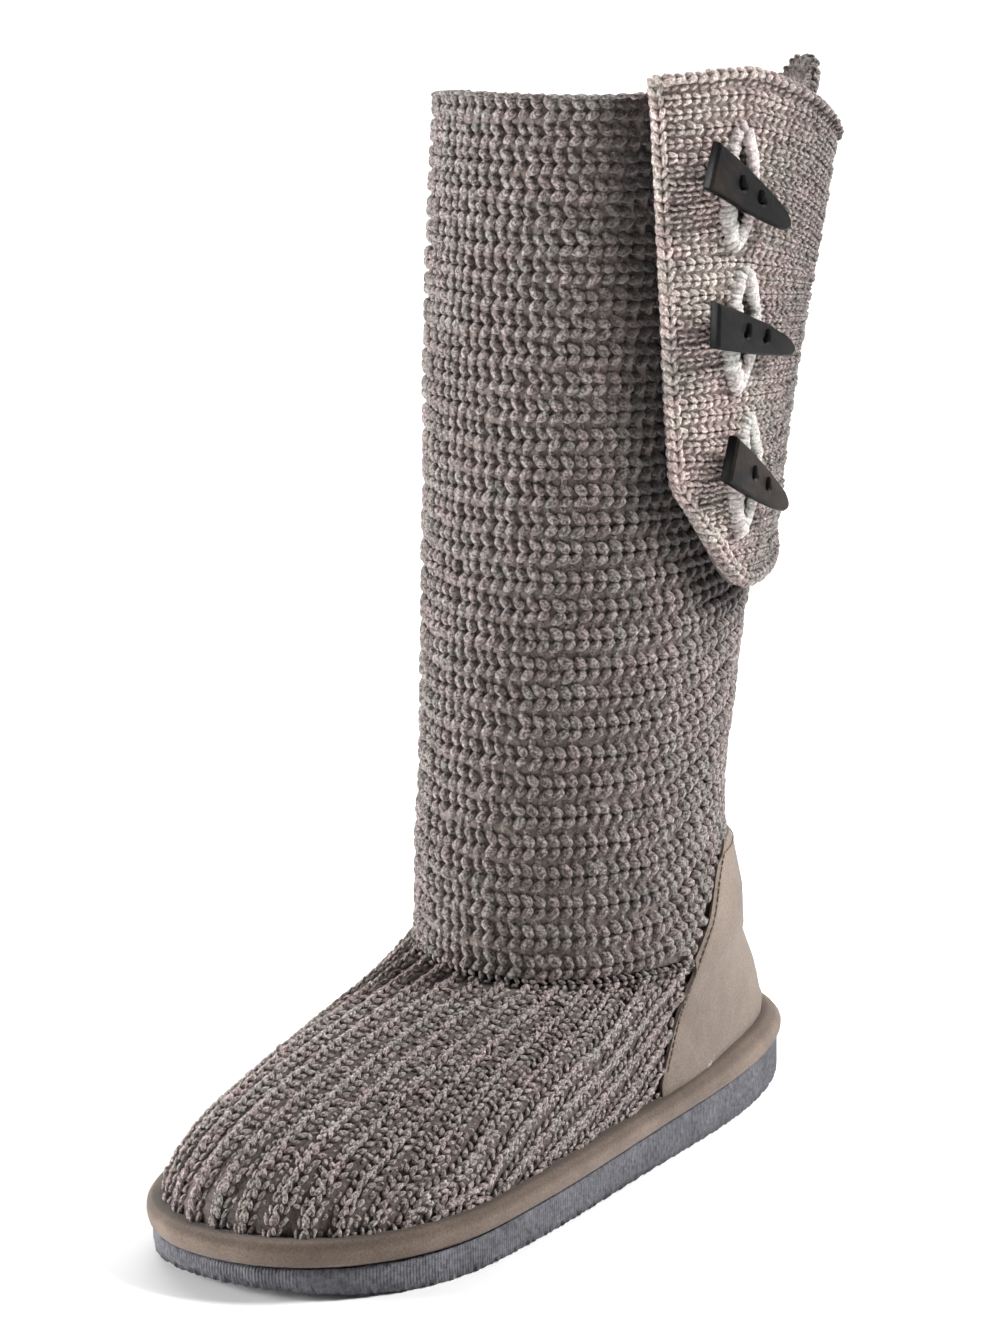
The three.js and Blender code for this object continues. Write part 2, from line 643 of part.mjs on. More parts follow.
function mesh(name, geometry, finish) {
  const material = new THREE.MeshStandardMaterial({ metalness: 0, ...finish });
  const piece = new THREE.Mesh(geometry, material);
  piece.name = name;
  return piece;
}

const boot = new THREE.Group();
boot.add(mesh('outsole', outsoleGeometry(), FINISH.foam));
boot.add(mesh('rand', randGeometry(), FINISH.randSuede));
boot.add(mesh('insole', insoleGeometry(), FINISH.fleece));
boot.add(mesh('upper', upperGeometry(), FINISH.knit));
boot.add(mesh('shaft', shaftGeometry(), FINISH.knit));
boot.add(mesh('heel_counter', counterGeometry(), FINISH.suede));
boot.add(mesh('button_flap', flapGeometry(), FINISH.flapKnit));
TOGGLES.forEach((place, i) => {
  boot.add(mesh(`buttonhole_edge_${i + 1}`, edgingGeometry(place), FINISH.paleYarn));
  boot.add(mesh(`toggle_${i + 1}`, toggleGeometry(place), FINISH.horn));
});

// The origin is at the middle of the boot's box, on the floor
const box = new THREE.Box3().setFromObject(boot);
const middle = box.getCenter(new THREE.Vector3());
boot.position.set(-middle.x, -middle.y, -box.min.z);
const part = new THREE.Group();
part.add(boot);
part.updateMatrixWorld(true);

export default part;
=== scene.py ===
"""Looks of a knit sweater boot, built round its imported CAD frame."""
import math

import bmesh
import bpy
import numpy as np
from bpy.props import FloatProperty, FloatVectorProperty, IntProperty, PointerProperty
from mathutils import Matrix, Vector
from mathutils.bvhtree import BVHTree


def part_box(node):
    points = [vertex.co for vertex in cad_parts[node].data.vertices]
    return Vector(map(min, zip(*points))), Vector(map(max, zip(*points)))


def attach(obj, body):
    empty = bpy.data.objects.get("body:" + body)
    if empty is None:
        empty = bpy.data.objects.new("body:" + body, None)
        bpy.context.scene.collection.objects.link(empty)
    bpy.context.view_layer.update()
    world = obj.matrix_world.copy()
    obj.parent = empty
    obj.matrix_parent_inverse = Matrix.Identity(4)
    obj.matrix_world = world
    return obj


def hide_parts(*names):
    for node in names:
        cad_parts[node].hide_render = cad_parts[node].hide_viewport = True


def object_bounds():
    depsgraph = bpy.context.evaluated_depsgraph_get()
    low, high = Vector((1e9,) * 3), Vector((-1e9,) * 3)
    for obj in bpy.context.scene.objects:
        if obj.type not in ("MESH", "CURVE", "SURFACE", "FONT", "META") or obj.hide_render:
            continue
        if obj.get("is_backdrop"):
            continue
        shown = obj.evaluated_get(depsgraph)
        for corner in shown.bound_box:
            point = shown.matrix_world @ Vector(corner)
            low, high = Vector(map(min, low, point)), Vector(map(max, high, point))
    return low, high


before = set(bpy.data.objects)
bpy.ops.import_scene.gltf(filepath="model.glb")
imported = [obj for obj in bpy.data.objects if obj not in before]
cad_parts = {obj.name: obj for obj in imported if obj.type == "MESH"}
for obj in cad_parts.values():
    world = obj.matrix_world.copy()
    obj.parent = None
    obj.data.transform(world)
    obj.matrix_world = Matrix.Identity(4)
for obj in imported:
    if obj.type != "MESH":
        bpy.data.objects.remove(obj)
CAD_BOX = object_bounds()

bl_info = {
    "name": "Knit sweater boot",
    "version": (1, 0, 0),
    "blender": (4, 5, 0),
    "location": "View3D > Sidebar > Boot",
    "description": "Builds the knit, suede, sole and toggles of a sweater boot over its CAD frame",
    "category": "Object",
}

MM = 0.001
BODY = "root"
SEED = 11
UP = Vector((0.0, 0.0, 1.0))
LEVEL = Vector((1.0, 1.0, 0.0))
WHITE = (1.0, 1.0, 1.0, 1.0)
# How far outside the boot a probe starts
PROBE_REACH = 0.25

# The shaft's middle line, the middles of foot and sole, and the core that the foot's wall goes round
AXIS_LOW = Vector((-0.012, 0.052, 0.061))
AXIS_HIGH = Vector((-0.006, 0.070, 0.328))
FOOT_MIDDLE = Vector((-0.0115, -0.070, 0.014))
SOLE_MIDDLE = Vector((-0.0083, 0.0, 0.0))
FOOT_CORE = {"half_length": 0.085, "height": 0.020}

# Sides round and rings along a grain of yarn, and how blunt its ends are
FULL_LEG = (6, 7)
PLAIN_LEG = (5, 5)
BLUNT = 0.5
# How the legs of a stitch ease forward, and the half width of a rib where they lie a full depth down
LEG_EASE = 1.15
HALF_RIB = 0.45

# The collar's peak: its angle and spread, the heights where it begins and is full, and how far it is drawn
PEAK = {"angle": 122.0, "spread": 17.0, "from": 0.304, "to": 0.330, "push": 0.0053, "drop": 0.0016}
# How far the heel is drawn in at each height, and where along the boot that begins and is full
HEEL_HEIGHTS = (0.015, 0.020, 0.024, 0.0276, 0.032, 0.0385, 0.043, 0.052)
HEEL_DRAWN = (0.0, 0.0030, 0.0036, 0.0023, 0.0002, -0.0012, -0.0012, 0.0)
HEEL_BACK = (0.040, 0.085)

# How much lighter the foot's dark, middle and light fibres are than the shaft's
FOOT_LIGHTER = (1.75, 1.52, 1.34)
# Painted shadow: tint that darkens the knit beside the flap in place of the flap's cast shadow, and how far
# from the flap that reaches
FLAP_PAINTED_SHADOW = (0.15, 0.13, 0.13, 1.0)
FLAP_PAINTED_SHADOW_REACH = (0.004, 0.022)
# Painted light: the flap is made lighter by its free edge and darker towards its back, in place of how light
# falls on it; place along the boot, and share of its colour there
FLAP_PAINTED_LIGHT = ((0.038, 1.80), (0.085, 0.60))
# Painted shade: share of the rand's colour at each height up its side, darker over its upper part and where
# it turns in at top and bottom
RAND_PAINTED_SHADE = ((0.10, 0.45), (0.17, 1.05), (0.52, 1.10), (0.70, 0.74), (0.86, 0.78), (0.96, 0.45))


def length(name, description, default):
    return FloatProperty(name=name, description=description, default=default, unit="LENGTH", precision=4)


def degrees(name, description, default):
    return FloatProperty(name=name, description=description, default=math.radians(default), subtype="ANGLE")


def colour(name, description, default):
    return FloatVectorProperty(
        name=name, description=description, default=(*default, 1.0), subtype="COLOR", size=4, min=0.0, max=1.0
    )


class KnitSizes(bpy.types.PropertyGroup):
    """Sizes of the rib knit."""

    collar_rib: length("Collar rib", "Height of a rib at the collar", 0.00775)
    ankle_rib: length("Ankle rib", "Height of a rib at the ankle", 0.00945)
    stitches_round: IntProperty(name="Stitches round", description="Stitches in a shaft rib", default=83)
    toe_rib: length("Toe rib", "Width of a rib of the foot at the toe", 0.0095)
    instep_rib: length("Instep rib", "Width of a rib of the foot at the ankle", 0.0078)
    foot_stitch: length("Foot stitch", "Length of a stitch of the foot", 0.0035)
    side_rise: degrees("Side rise", "Climb of the side ribs behind the instep", 18)
    flap_rib: length("Flap rib", "Height of a rib of the flap", 0.0042)
    flap_stitch: length("Flap stitch", "Length of a stitch on the flap", 0.0031)
    depth: length("Depth", "How deep the valleys lie under the crests", 0.0020)
    heel_lift: length("Heel lift", "Climb of the lowest ribs over the heel counter", 0.027)
    heel_fade: length("Heel fade", "Height over which that climb fades", 0.060)
    back_rise: length("Back rise", "Climb of the middle ribs from front to back", 0.005)
    edge_stitch: length("Edge stitch", "Length of a chain stitch on the flap's edge", 0.0034)
    edge_width: length("Edge width", "Width of the chain on the flap's edge", 0.0050)


class BootColours(bpy.types.PropertyGroup):
    """Colours of the boot."""

    knit_dark: colour("Knit dark", "Dark fibres of the shaft and foot", (0.062, 0.048, 0.044))
    knit_mid: colour("Knit middle", "Middle fibres of the shaft and foot", (0.173, 0.141, 0.131))
    knit_light: colour("Knit light", "Light fibres of the shaft and foot", (0.385, 0.338, 0.320))
    flap_dark: colour("Flap dark", "Dark fibres of the flap", (0.160, 0.126, 0.117))
    flap_mid: colour("Flap middle", "Middle fibres of the flap", (0.302, 0.250, 0.232))
    flap_light: colour("Flap light", "Light fibres of the flap", (0.470, 0.415, 0.390))
    valley: colour("Valley", "Knit in the valleys between ribs", (0.150, 0.120, 0.108))
    # The foot's valleys are kept far darker than its yarn: painted shade in the grooves between its ribs
    foot_valley: colour("Foot valley", "Knit in the valleys of the foot", (0.080, 0.063, 0.057))
    flap_valley: colour("Flap valley", "Knit in the valleys of the flap", (0.230, 0.185, 0.170))
    pale: colour("Pale yarn", "Edges of the buttonholes", (0.600, 0.560, 0.540))
    suede: colour("Suede", "Heel counter", (0.215, 0.172, 0.143))
    rand: colour("Rand", "Binding round the foot", (0.160, 0.124, 0.102))
    foam: colour("Foam", "Outsole", (0.108, 0.107, 0.120))
    fleece: colour("Fleece", "Insole", (0.480, 0.400, 0.310))
    horn: colour("Horn", "Toggles", (0.0080, 0.0076, 0.0080))
    horn_brown: colour("Horn brown", "Browner patches of the toggles", (0.020, 0.0145, 0.0118))
    thread: colour("Thread", "Sewing thread", (0.200, 0.160, 0.132))
    floor: colour("Floor", "Studio floor", (0.900, 0.900, 0.900))


class StageSizes(bpy.types.PropertyGroup):
    """Camera and floor."""

    azimuth: degrees("Azimuth", "Turn of the camera from the toe towards the outer side", 34.92)
    distance: length("Distance", "Level distance from the camera to the boot", 1.17849)
    height: length("Height", "Height of the camera", 0.41608)
    roll: degrees("Roll", "Turn of the camera about its own view", -0.86)
    lens: FloatProperty(name="Lens", description="Focal length in millimetres", default=107.33, unit="CAMERA")
    floor: length("Floor", "Half width of the studio floor", 6.5)


# Probing the frame
def tree_of(*nodes):
    """The surfaces of CAD nodes, for probing."""
    points, faces = [], []
    for node in nodes:
        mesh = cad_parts[node].data
        start = len(points)
        points += [v.co.copy() for v in mesh.vertices]
        faces += [[start + i for i in p.vertices] for p in mesh.polygons]
    return BVHTree.FromPolygons(points, faces)


def axis_at(z):
    return AXIS_LOW.lerp(AXIS_HIGH, (z - AXIS_LOW.z) / (AXIS_HIGH.z - AXIS_LOW.z))


def from_axis(spot):
    """Level vector from the shaft's middle line to a spot."""
    spot = Vector(spot)
    return (spot - axis_at(spot.z)) * LEVEL


def angle_of(spot):
    """Angle of a spot round the shaft, from the front by the outer side."""
    away = from_axis(spot)
    return math.atan2(away.x, -away.y)


def heading(angle):
    """Level direction at an angle round from the front by the outer side."""
    return Vector((math.sin(angle), -math.cos(angle), 0.0))


def cast(tree, middle, direction):
    """Where a ray from outside towards a middle point first meets the surface, and its outward normal."""
    unit = direction.normalized()
    place, normal, _, _ = tree.ray_cast(middle + unit * PROBE_REACH, -unit, PROBE_REACH)
    return None if place is None else (place, normal)


def round_hit(tree, angle, z):
    return cast(tree, axis_at(z), heading(angle))


def first_hit(hit, outside, inside, steps=40, halvings=8):
    """First value, from outside to inside, at which a probe hits, or None."""
    values = np.linspace(outside, inside, steps)
    found = next((i for i, value in enumerate(values) if hit(value)), None)
    if found is None:
        return None
    low, high = values[max(found - 1, 0)], values[found]
    for _ in range(halvings):
        middle = (low + high) / 2
        low, high = (low, middle) if hit(middle) else (middle, high)
    return high


def first_angle(tree, z, outside, inside, steps=120):
    """First angle, in degrees from outside to inside, at which a surface lies at a height."""
    hit = lambda angle: round_hit(tree, angle, z) is not None
    return first_hit(hit, math.radians(outside), math.radians(inside), steps)


def rand_plane():
    """Level and slope of the tipped plane under the rand."""
    low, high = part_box("rand")
    rise = high.z - low.z - BOOT_OT_rand.HEIGHT
    return (low.z + high.z - BOOT_OT_rand.HEIGHT) / 2, rise / (high.y - low.y)


def plane_ring(tree, count, level, slope):
    """A closed ring of evenly spaced points where a tipped plane cuts a surface round the sole."""
    points = []
    for angle in np.linspace(0.0, math.tau, 2 * count, endpoint=False):
        direction = heading(angle)
        direction.z = slope * direction.y
        hit = cast(tree, SOLE_MIDDLE * LEVEL + UP * level, direction)
        if hit is None:
            raise RuntimeError(f"the frame has no surface at level {level} and angle {angle}")
        points.append(hit[0])
    points = smooth_ring(np.array(points), 6)
    return smooth_ring(spaced(points, points, count, True)[0], 2)


# Runs of numbers
def smooth_ring(values, times=2):
    """A closed run of values, each evened with its neighbours."""
    for _ in range(times):
        values = (np.roll(values, 1, axis=0) + 2 * values + np.roll(values, -1, axis=0)) / 4
    return values


def smooth_run(values, times=2):
    """An open run of values, each evened with its neighbours, with its ends kept."""
    for _ in range(times):
        inner = (values[:-2] + 2 * values[1:-1] + values[2:]) / 4
        values = np.concatenate([values[:1], inner, values[-1:]])
    return values


def unit_rows(vectors):
    return vectors / np.maximum(np.linalg.norm(vectors, axis=-1, keepdims=True), 1e-12)


def smoothstep(low, high, value):
    t = np.clip((value - low) / (high - low), 0.0, 1.0)
    return t * t * (3 - 2 * t)


def arrays_of(hits):
    """Points and normals of a run of hits."""
    return np.array([hit[0] for hit in hits]), np.array([hit[1] for hit in hits])


def nearest_to(points, middles):
    """Number of the nearest point to each middle."""
    return [int(np.argmin(np.linalg.norm(points - middle, axis=1))) for middle in middles]


def inwards(points):
    """Level unit vectors from points on the sole's outline to its middle."""
    return unit_rows(np.array((SOLE_MIDDLE * LEVEL)[:]) - points * (1, 1, 0))


# Shapes drawn to the photo
def peak_push(spot):
    """How far a point near the collar's back peak is drawn outwards, as a vector."""
    off = (math.degrees(angle_of(spot)) - PEAK["angle"] + 180.0) % 360.0 - 180.0
    near = math.exp(-((off / PEAK["spread"]) ** 2)) * float(smoothstep(PEAK["from"], PEAK["to"], spot[2]))
    return (from_axis(spot).normalized() * PEAK["push"] - UP * PEAK["drop"]) * near


def heel_draw(spot):
    """How far the lower heel is drawn in under its fuller upper part, as a vector."""
    away = (Vector(spot) - AXIS_LOW) * LEVEL
    back = float(smoothstep(*HEEL_BACK, spot[1]))
    return away.normalized() * -back * float(np.interp(spot[2], HEEL_HEIGHTS, HEEL_DRAWN))


# Rows of stitches
def spaced(points, normals, count, closed, offset=0.0):
    """Evenly spaced points, directions and normals along a run, count of them, and their spacing."""
    run = np.vstack([points, points[:1]]) if closed else points
    tops = np.vstack([normals, normals[:1]]) if closed else normals
    lengths = np.concatenate([[0.0], np.cumsum(np.linalg.norm(np.diff(run, axis=0), axis=1))])
    step = lengths[-1] / count
    wanted = (np.arange(count) + (offset if closed else 0.5)) * step
    at = lambda where, table: np.stack([np.interp(where, lengths, table[:, k]) for k in range(3)], 1)
    fit = lambda where: where % lengths[-1] if closed else np.clip(where, 0.0, lengths[-1])
    along = at(fit(wanted + 0.5 * step), run) - at(fit(wanted - 0.5 * step), run)
    return at(wanted, run), unit_rows(along), unit_rows(at(wanted, tops)), step


def row_places(points, normals, pitch, width, closed=False, count=None):
    """Places for the stitches of one row: their middles and their three scaled axes."""
    total = np.linalg.norm(np.diff(points, axis=0), axis=1).sum()
    middle, along, out, step = spaced(points, normals, count or max(1, round(total / pitch)), closed)
    across = unit_rows(np.cross(out, along))
    out = np.cross(along, across)
    return {"middle": middle, "along": along * step, "across": across * width, "out": out * width}


def fitted(row, points, widths, least):
    """A row whose stitches take their width from the widths along its rib."""
    wanted = widths[nearest_to(points, row["middle"])][:, None]
    row["across"] = unit_rows(row["across"]) * wanted
    row["out"] = unit_rows(row["out"]) * np.maximum(wanted, least)
    return row


def leaned(row, angle):
    """A row of places whose stitches lean sideways by an angle."""
    wide, tall = (np.linalg.norm(row[key], axis=1, keepdims=True) for key in ("across", "out"))
    side, out = row["across"] / wide, row["out"] / tall
    row["out"] = (out * math.cos(angle) + side * math.sin(angle)) * tall
    row["across"] = (side * math.cos(angle) - out * math.sin(angle)) * wide
    return row


def joined_places(rows):
    return {key: np.concatenate([row[key] for row in rows]) for key in rows[0]}


def picked(places, keep):
    return {key: value[keep] for key, value in places.items()}


def shaken(places, random, turn, size, sink, slip=0.0):
    """Places with a little hand-knitted unevenness: turned, sized, sunk and slipped at random."""
    count = len(places["middle"])
    angle = random.normal(0.0, turn, (count, 1))
    grow = 1.0 + random.normal(0.0, size, (count, 1))
    long, wide = (np.linalg.norm(places[key], axis=1, keepdims=True) for key in ("along", "across"))
    flat, side = places["along"] / long, places["across"] / wide
    deep = random.normal(0.0, sink, (count, 1)) * unit_rows(places["out"])
    off = random.normal(0.0, slip, (count, 1)) * flat + random.normal(0.0, slip, (count, 1)) * side
    return {
        **places,
        "middle": places["middle"] + deep + off,
        "along": (flat * np.cos(angle) + side * np.sin(angle)) * long * grow,
        "across": (side * np.cos(angle) - flat * np.sin(angle)) * wide * grow,
        "out": places["out"] * grow,
    }


# Small shapes that are repeated
def yarn_leg(path, wide, tall, pitch=1.0, fineness=FULL_LEG):
    """One grain of yarn: a ball drawn out along a path, as a bmesh with its own UV map."""
    bm = bmesh.new()
    bmesh.ops.create_uvsphere(bm, u_segments=fineness[0], v_segments=fineness[1], radius=1.0)
    bmesh.ops.rotate(bm, verts=bm.verts, cent=(0, 0, 0), matrix=Matrix.Rotation(math.pi / 2, 3, "Y"))
    uv = bm.loops.layers.uv.new("Yarn")
    for face in bm.faces:
        turns = [math.atan2(loop.vert.co.z, loop.vert.co.y) / math.tau for loop in face.loops]
        if max(turns) - min(turns) > 0.5:
            turns = [turn + 1.0 if turn < 0.0 else turn for turn in turns]
        for loop, turn in zip(face.loops, turns):
            loop[uv].uv = ((loop.vert.co.x + 1.0) / 2.0, turn)
    for vert in bm.verts:
        u = (vert.co.x + 1.0) / 2.0
        along = (Vector(path(u + 0.01)) - Vector(path(u - 0.01))).normalized()
        side = UP.cross(along).normalized()
        spread = math.hypot(vert.co.y, vert.co.z)
        full = spread ** BLUNT / spread if spread > 1e-6 else 0.0
        off = side * vert.co.y * full * wide + along.cross(side) * vert.co.z * full * tall
        vert.co = Vector(path(u)) + off
        vert.co.x /= pitch
    return bm


def shape_of(*parts):
    """The arrays of a small shape that is repeated: points, corners, face starts and UVs."""
    whole = {"points": [], "corners": [], "starts": [], "uvs": []}
    for bm in parts:
        start = len(whole["points"])
        uv = bm.loops.layers.uv.active
        bm.verts.index_update()
        whole["points"] += [vert.co[:] for vert in bm.verts]
        for face in bm.faces:
            whole["starts"].append(len(whole["corners"]))
            whole["corners"] += [start + loop.vert.index for loop in face.loops]
            whole["uvs"] += [loop[uv].uv[:] for loop in face.loops]
        bm.free()
    return {key: np.array(value) for key, value in whole.items()}


def knit_stitch(pitch, back=-0.15, ahead=0.18, wide_end=0.50, apex=0.08, wide=0.125, tall=0.16, crest=0.06,
                over=0.26, turn=0.30, dive=0.08, fineness=FULL_LEG):
    """A knit stitch, in units of its rib's width: two legs that rise from the valleys and meet ahead."""

    def leg(side):
        def path(u):
            spread = wide_end + (apex - wide_end) * u
            run = max((u - turn) / (1.0 - turn), 0.0) ** LEG_EASE
            sink = over * (spread / HALF_RIB) ** 2 + dive * max(2.0 * u - 1.0, 0.0) ** 2
            return back + (ahead - back) * run, side * spread, crest - tall - sink

        return yarn_leg(path, wide, tall, pitch, fineness)

    return shape_of(leg(1.0), leg(-1.0))


def thread_stitch(reach=0.42, wide=0.5, tall=0.45):
    """A sewing stitch: one short grain of thread."""
    return shape_of(yarn_leg(lambda u: ((2.0 * u - 1.0) * reach, 0.0, 0.1), wide, tall, 1.0, PLAIN_LEG))


def valley_stitch(pitch, shift, reach, thick, low):
    """A grain that bridges the valley between two ribs, in units of a rib's width."""
    return shape_of(yarn_leg(lambda u: (shift, (2.0 * u - 1.0) * reach, low), thick, thick, pitch, PLAIN_LEG))


# Pieces
def placed(name, mesh, slot, *finishes, node=None):
    """Put a finished piece in the scene, riding on the boot, in place of a CAD node where one is named."""
    piece = bpy.data.objects.new(name, mesh)
    bpy.context.scene.collection.objects.link(piece)
    for finish in finishes:
        mesh.materials.append(finish_of(finish))
    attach(piece, BODY)
    if node:
        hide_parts(node)


def array_piece(name, shape, places, random, finish, slot="knit", node=None):
    """One piece with the shape repeated at every place, each with a random tone and its share of painted
    shadow.
    """
    count, points = len(places["middle"]), shape["points"]
    co = places["middle"][:, None]
    for k, axis in enumerate(("along", "across", "out")):
        co = co + points[None, :, k:k + 1] * places[axis][:, None]
    repeat = np.arange(count)[:, None]
    corners = (shape["corners"][None] + repeat * len(points)).ravel()
    starts = (shape["starts"][None] + repeat * len(shape["corners"])).ravel()
    mesh = bpy.data.meshes.new(name)
    mesh.vertices.add(count * len(points))
    mesh.vertices.foreach_set("co", co.astype(np.float32).ravel())
    mesh.loops.add(len(corners))
    mesh.loops.foreach_set("vertex_index", corners.astype(np.int32))
    mesh.polygons.add(len(starts))
    mesh.polygons.foreach_set("loop_start", starts.astype(np.int32))
    mesh.polygons.foreach_set("use_smooth", np.ones(len(starts), bool))
    uv = mesh.uv_layers.new(name="Yarn")
    uv.data.foreach_set("uv", np.tile(shape["uvs"], (count, 1)).astype(np.float32).ravel())
    # Each stitch's share of painted shadow, none where it has no share
    values = {"tone": random.random(count), "painted_shadow": places.get("painted_shadow", np.zeros(count))}
    for kind, value in values.items():
        attribute = mesh.attributes.new(kind, "FLOAT", "POINT")
        attribute.data.foreach_set("value", np.repeat(value, len(points)).astype(np.float32))
    mesh.update(calc_edges=True)
    mesh.validate()
    placed(name, mesh, slot, finish, node=node)


def mesh_from(bm, name, sharp=None):
    """A bmesh as a smooth mesh, with sharp edges past an angle in degrees."""
    mesh = bpy.data.meshes.new(name)
    bm.to_mesh(mesh)
    bm.free()
    mesh.polygons.foreach_set("use_smooth", np.ones(len(mesh.polygons), bool))
    if sharp is not None:
        mesh.set_sharp_from_angle(angle=math.radians(sharp))
    return mesh


def merged_copy(node):
    """A CAD node's mesh as a bmesh, its loose triangles joined."""
    bm = bmesh.new()
    bm.from_mesh(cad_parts[node].data)
    bmesh.ops.remove_doubles(bm, verts=bm.verts, dist=1e-6)
    bm.normal_update()
    return bm


def loft(bm, rings):
    """Closed rings of points, each extruded from the one before. Gives the edges of every ring."""
    verts = [bm.verts.new(point) for point in rings[0]]
    edges = [[bm.edges.new((verts[i - 1], verts[i])) for i in range(len(verts))]]
    order = {vert: i for i, vert in enumerate(verts)}
    for ring in rings[1:]:
        made = bmesh.ops.extrude_edge_only(bm, edges=edges[-1])["geom"]
        known = set(order)
        for vert in (part for part in made if isinstance(part, bmesh.types.BMVert)):
            before = next(edge.other_vert(vert) for edge in vert.link_edges if edge.other_vert(vert) in known)
            vert.co = ring[order[before] % len(ring)]
            order[vert] = order[before] + len(ring)
        fresh = [part for part in made if isinstance(part, bmesh.types.BMEdge)]
        edges.append([edge for edge in fresh if not known.intersection(edge.verts)])
    bm.verts.sort(key=order.get)
    return edges


def wrap_uv(mesh, count):
    """A UV map for a mesh lofted from rings: round in U, ring by ring in V."""
    uv = mesh.uv_layers.new(name="Wrap")
    rings = len(mesh.vertices) // count
    for face in mesh.polygons:
        places = [mesh.loops[i].vertex_index % count for i in face.loop_indices]
        last = max(places) - min(places) > count // 2
        for i, place in zip(face.loop_indices, places):
            turn = place + count if last and place < count // 2 else place
            uv.data[i].uv = (turn / count, (mesh.loops[i].vertex_index // count) / (rings - 1))


# Materials
class Finish:
    """A material in the making: its shader, and the nodes that feed it."""

    def __init__(self, name, roughness, sheen=0.0, coat=0.0, specular=0.5):
        self.material = bpy.data.materials.new(name)
        self.material.use_nodes = True
        self.tree = self.material.node_tree
        self.shader = self.tree.nodes["Principled BSDF"]
        self.feed(self.shader, {"Roughness": roughness, "Specular IOR Level": specular})
        self.feed(self.shader, {"Sheen Weight": sheen, "Sheen Roughness": 0.45})
        self.feed(self.shader, {"Coat Weight": coat, "Coat Roughness": 0.35})
        self.place = self.add("ShaderNodeTexCoord", output="Object")

    def feed(self, node, inputs):
        """Set or link inputs of a node."""
        for name, value in inputs.items():
            if isinstance(value, bpy.types.NodeSocket):
                self.tree.links.new(value, node.inputs[name])
            else:
                node.inputs[name].default_value = value

    def add(self, kind, inputs=None, output=0, **settings):
        """An output of a new node with these settings and inputs."""
        node = self.tree.nodes.new(kind)
        for name, value in settings.items():
            setattr(node, name, value)
        self.feed(node, inputs or {})
        return node.outputs[output]

    def noise(self, scale, detail=3.0, roughness=0.6, vector=None):
        """Noise over the boot's own coordinates, or over a vector."""
        inputs = {"Vector": self.place, "Scale": scale, "Detail": detail, "Roughness": roughness}
        if vector is not None:
            inputs["Vector"] = vector
        return self.add("ShaderNodeTexNoise", inputs, "Fac")

    def wave(self, direction, scale, distortion, detail, detail_scale):
        inputs = {"Vector": self.place, "Scale": scale, "Distortion": distortion, "Detail": detail}
        inputs["Detail Scale"] = detail_scale
        return self.add("ShaderNodeTexWave", inputs, "Fac", bands_direction=direction)

    def ramp(self, factor, *stops):
        tint = self.add("ShaderNodeValToRGB", {"Fac": factor}, "Color")
        elements = tint.node.color_ramp.elements
        while len(elements) < len(stops):
            elements.new(0.5)
        for element, (position, stop_tint) in zip(elements, stops):
            element.position, element.color = position, stop_tint
        return tint

    def maths(self, operation, first, second=0.0):
        return self.add("ShaderNodeMath", {0: first, 1: second}, operation=operation)

    def weighted(self, first, first_weight, second, second_weight):
        """Sum of two weighted values."""
        parts = self.maths("MULTIPLY", first, first_weight), self.maths("MULTIPLY", second, second_weight)
        return self.maths("ADD", *parts)

    def spread(self, value, low, high, to_low, to_high):
        """A value carried from one range to another."""
        inputs = {"Value": value, "From Min": low, "From Max": high, "To Min": to_low, "To Max": to_high}
        return self.add("ShaderNodeMapRange", inputs, "Result")

    def part(self, vector, axis):
        return self.add("ShaderNodeSeparateXYZ", {"Vector": vector}, axis)

    def attribute(self, name):
        return self.add("ShaderNodeAttribute", output="Fac", attribute_name=name)

    def uv(self, name):
        return self.add("ShaderNodeUVMap", output="UV", uv_map=name)

    def mixed(self, factor, first, second, blend="MIX"):
        inputs = {0: factor, 6: first, 7: second}
        return self.add("ShaderNodeMix", inputs, 2, data_type="RGBA", blend_type=blend)

    def times(self, tint, by):
        """A colour times another."""
        return self.mixed(1.0, tint, by, "MULTIPLY")

    def graded(self, tint, by):
        """A colour times a number that varies over the piece."""
        return self.add("ShaderNodeVectorMath", {0: tint, 1: by}, "Vector", operation="MULTIPLY")

    def done(self, tint, *layers):
        """The material with its colour, and bumps of (height, strength, distance), one over another."""
        normal = {}
        for height, strength, distance in layers:
            inputs = {"Height": height, "Strength": strength, "Distance": distance, **normal}
            normal = {"Normal": self.add("ShaderNodeBump", inputs, "Normal")}
        self.feed(self.shader, {"Base Color": tint, **normal})
        return self.material


def scaled(tint, by):
    """A colour made lighter or darker."""
    return [min(1.0, c * by) for c in tint[:3]] + [1.0]


def grey(level, warmth=0.0):
    """A grey tint, with less green and blue the warmer it is."""
    return level, level * (1.0 - warmth), level * (1.0 - 2.0 * warmth), 1.0


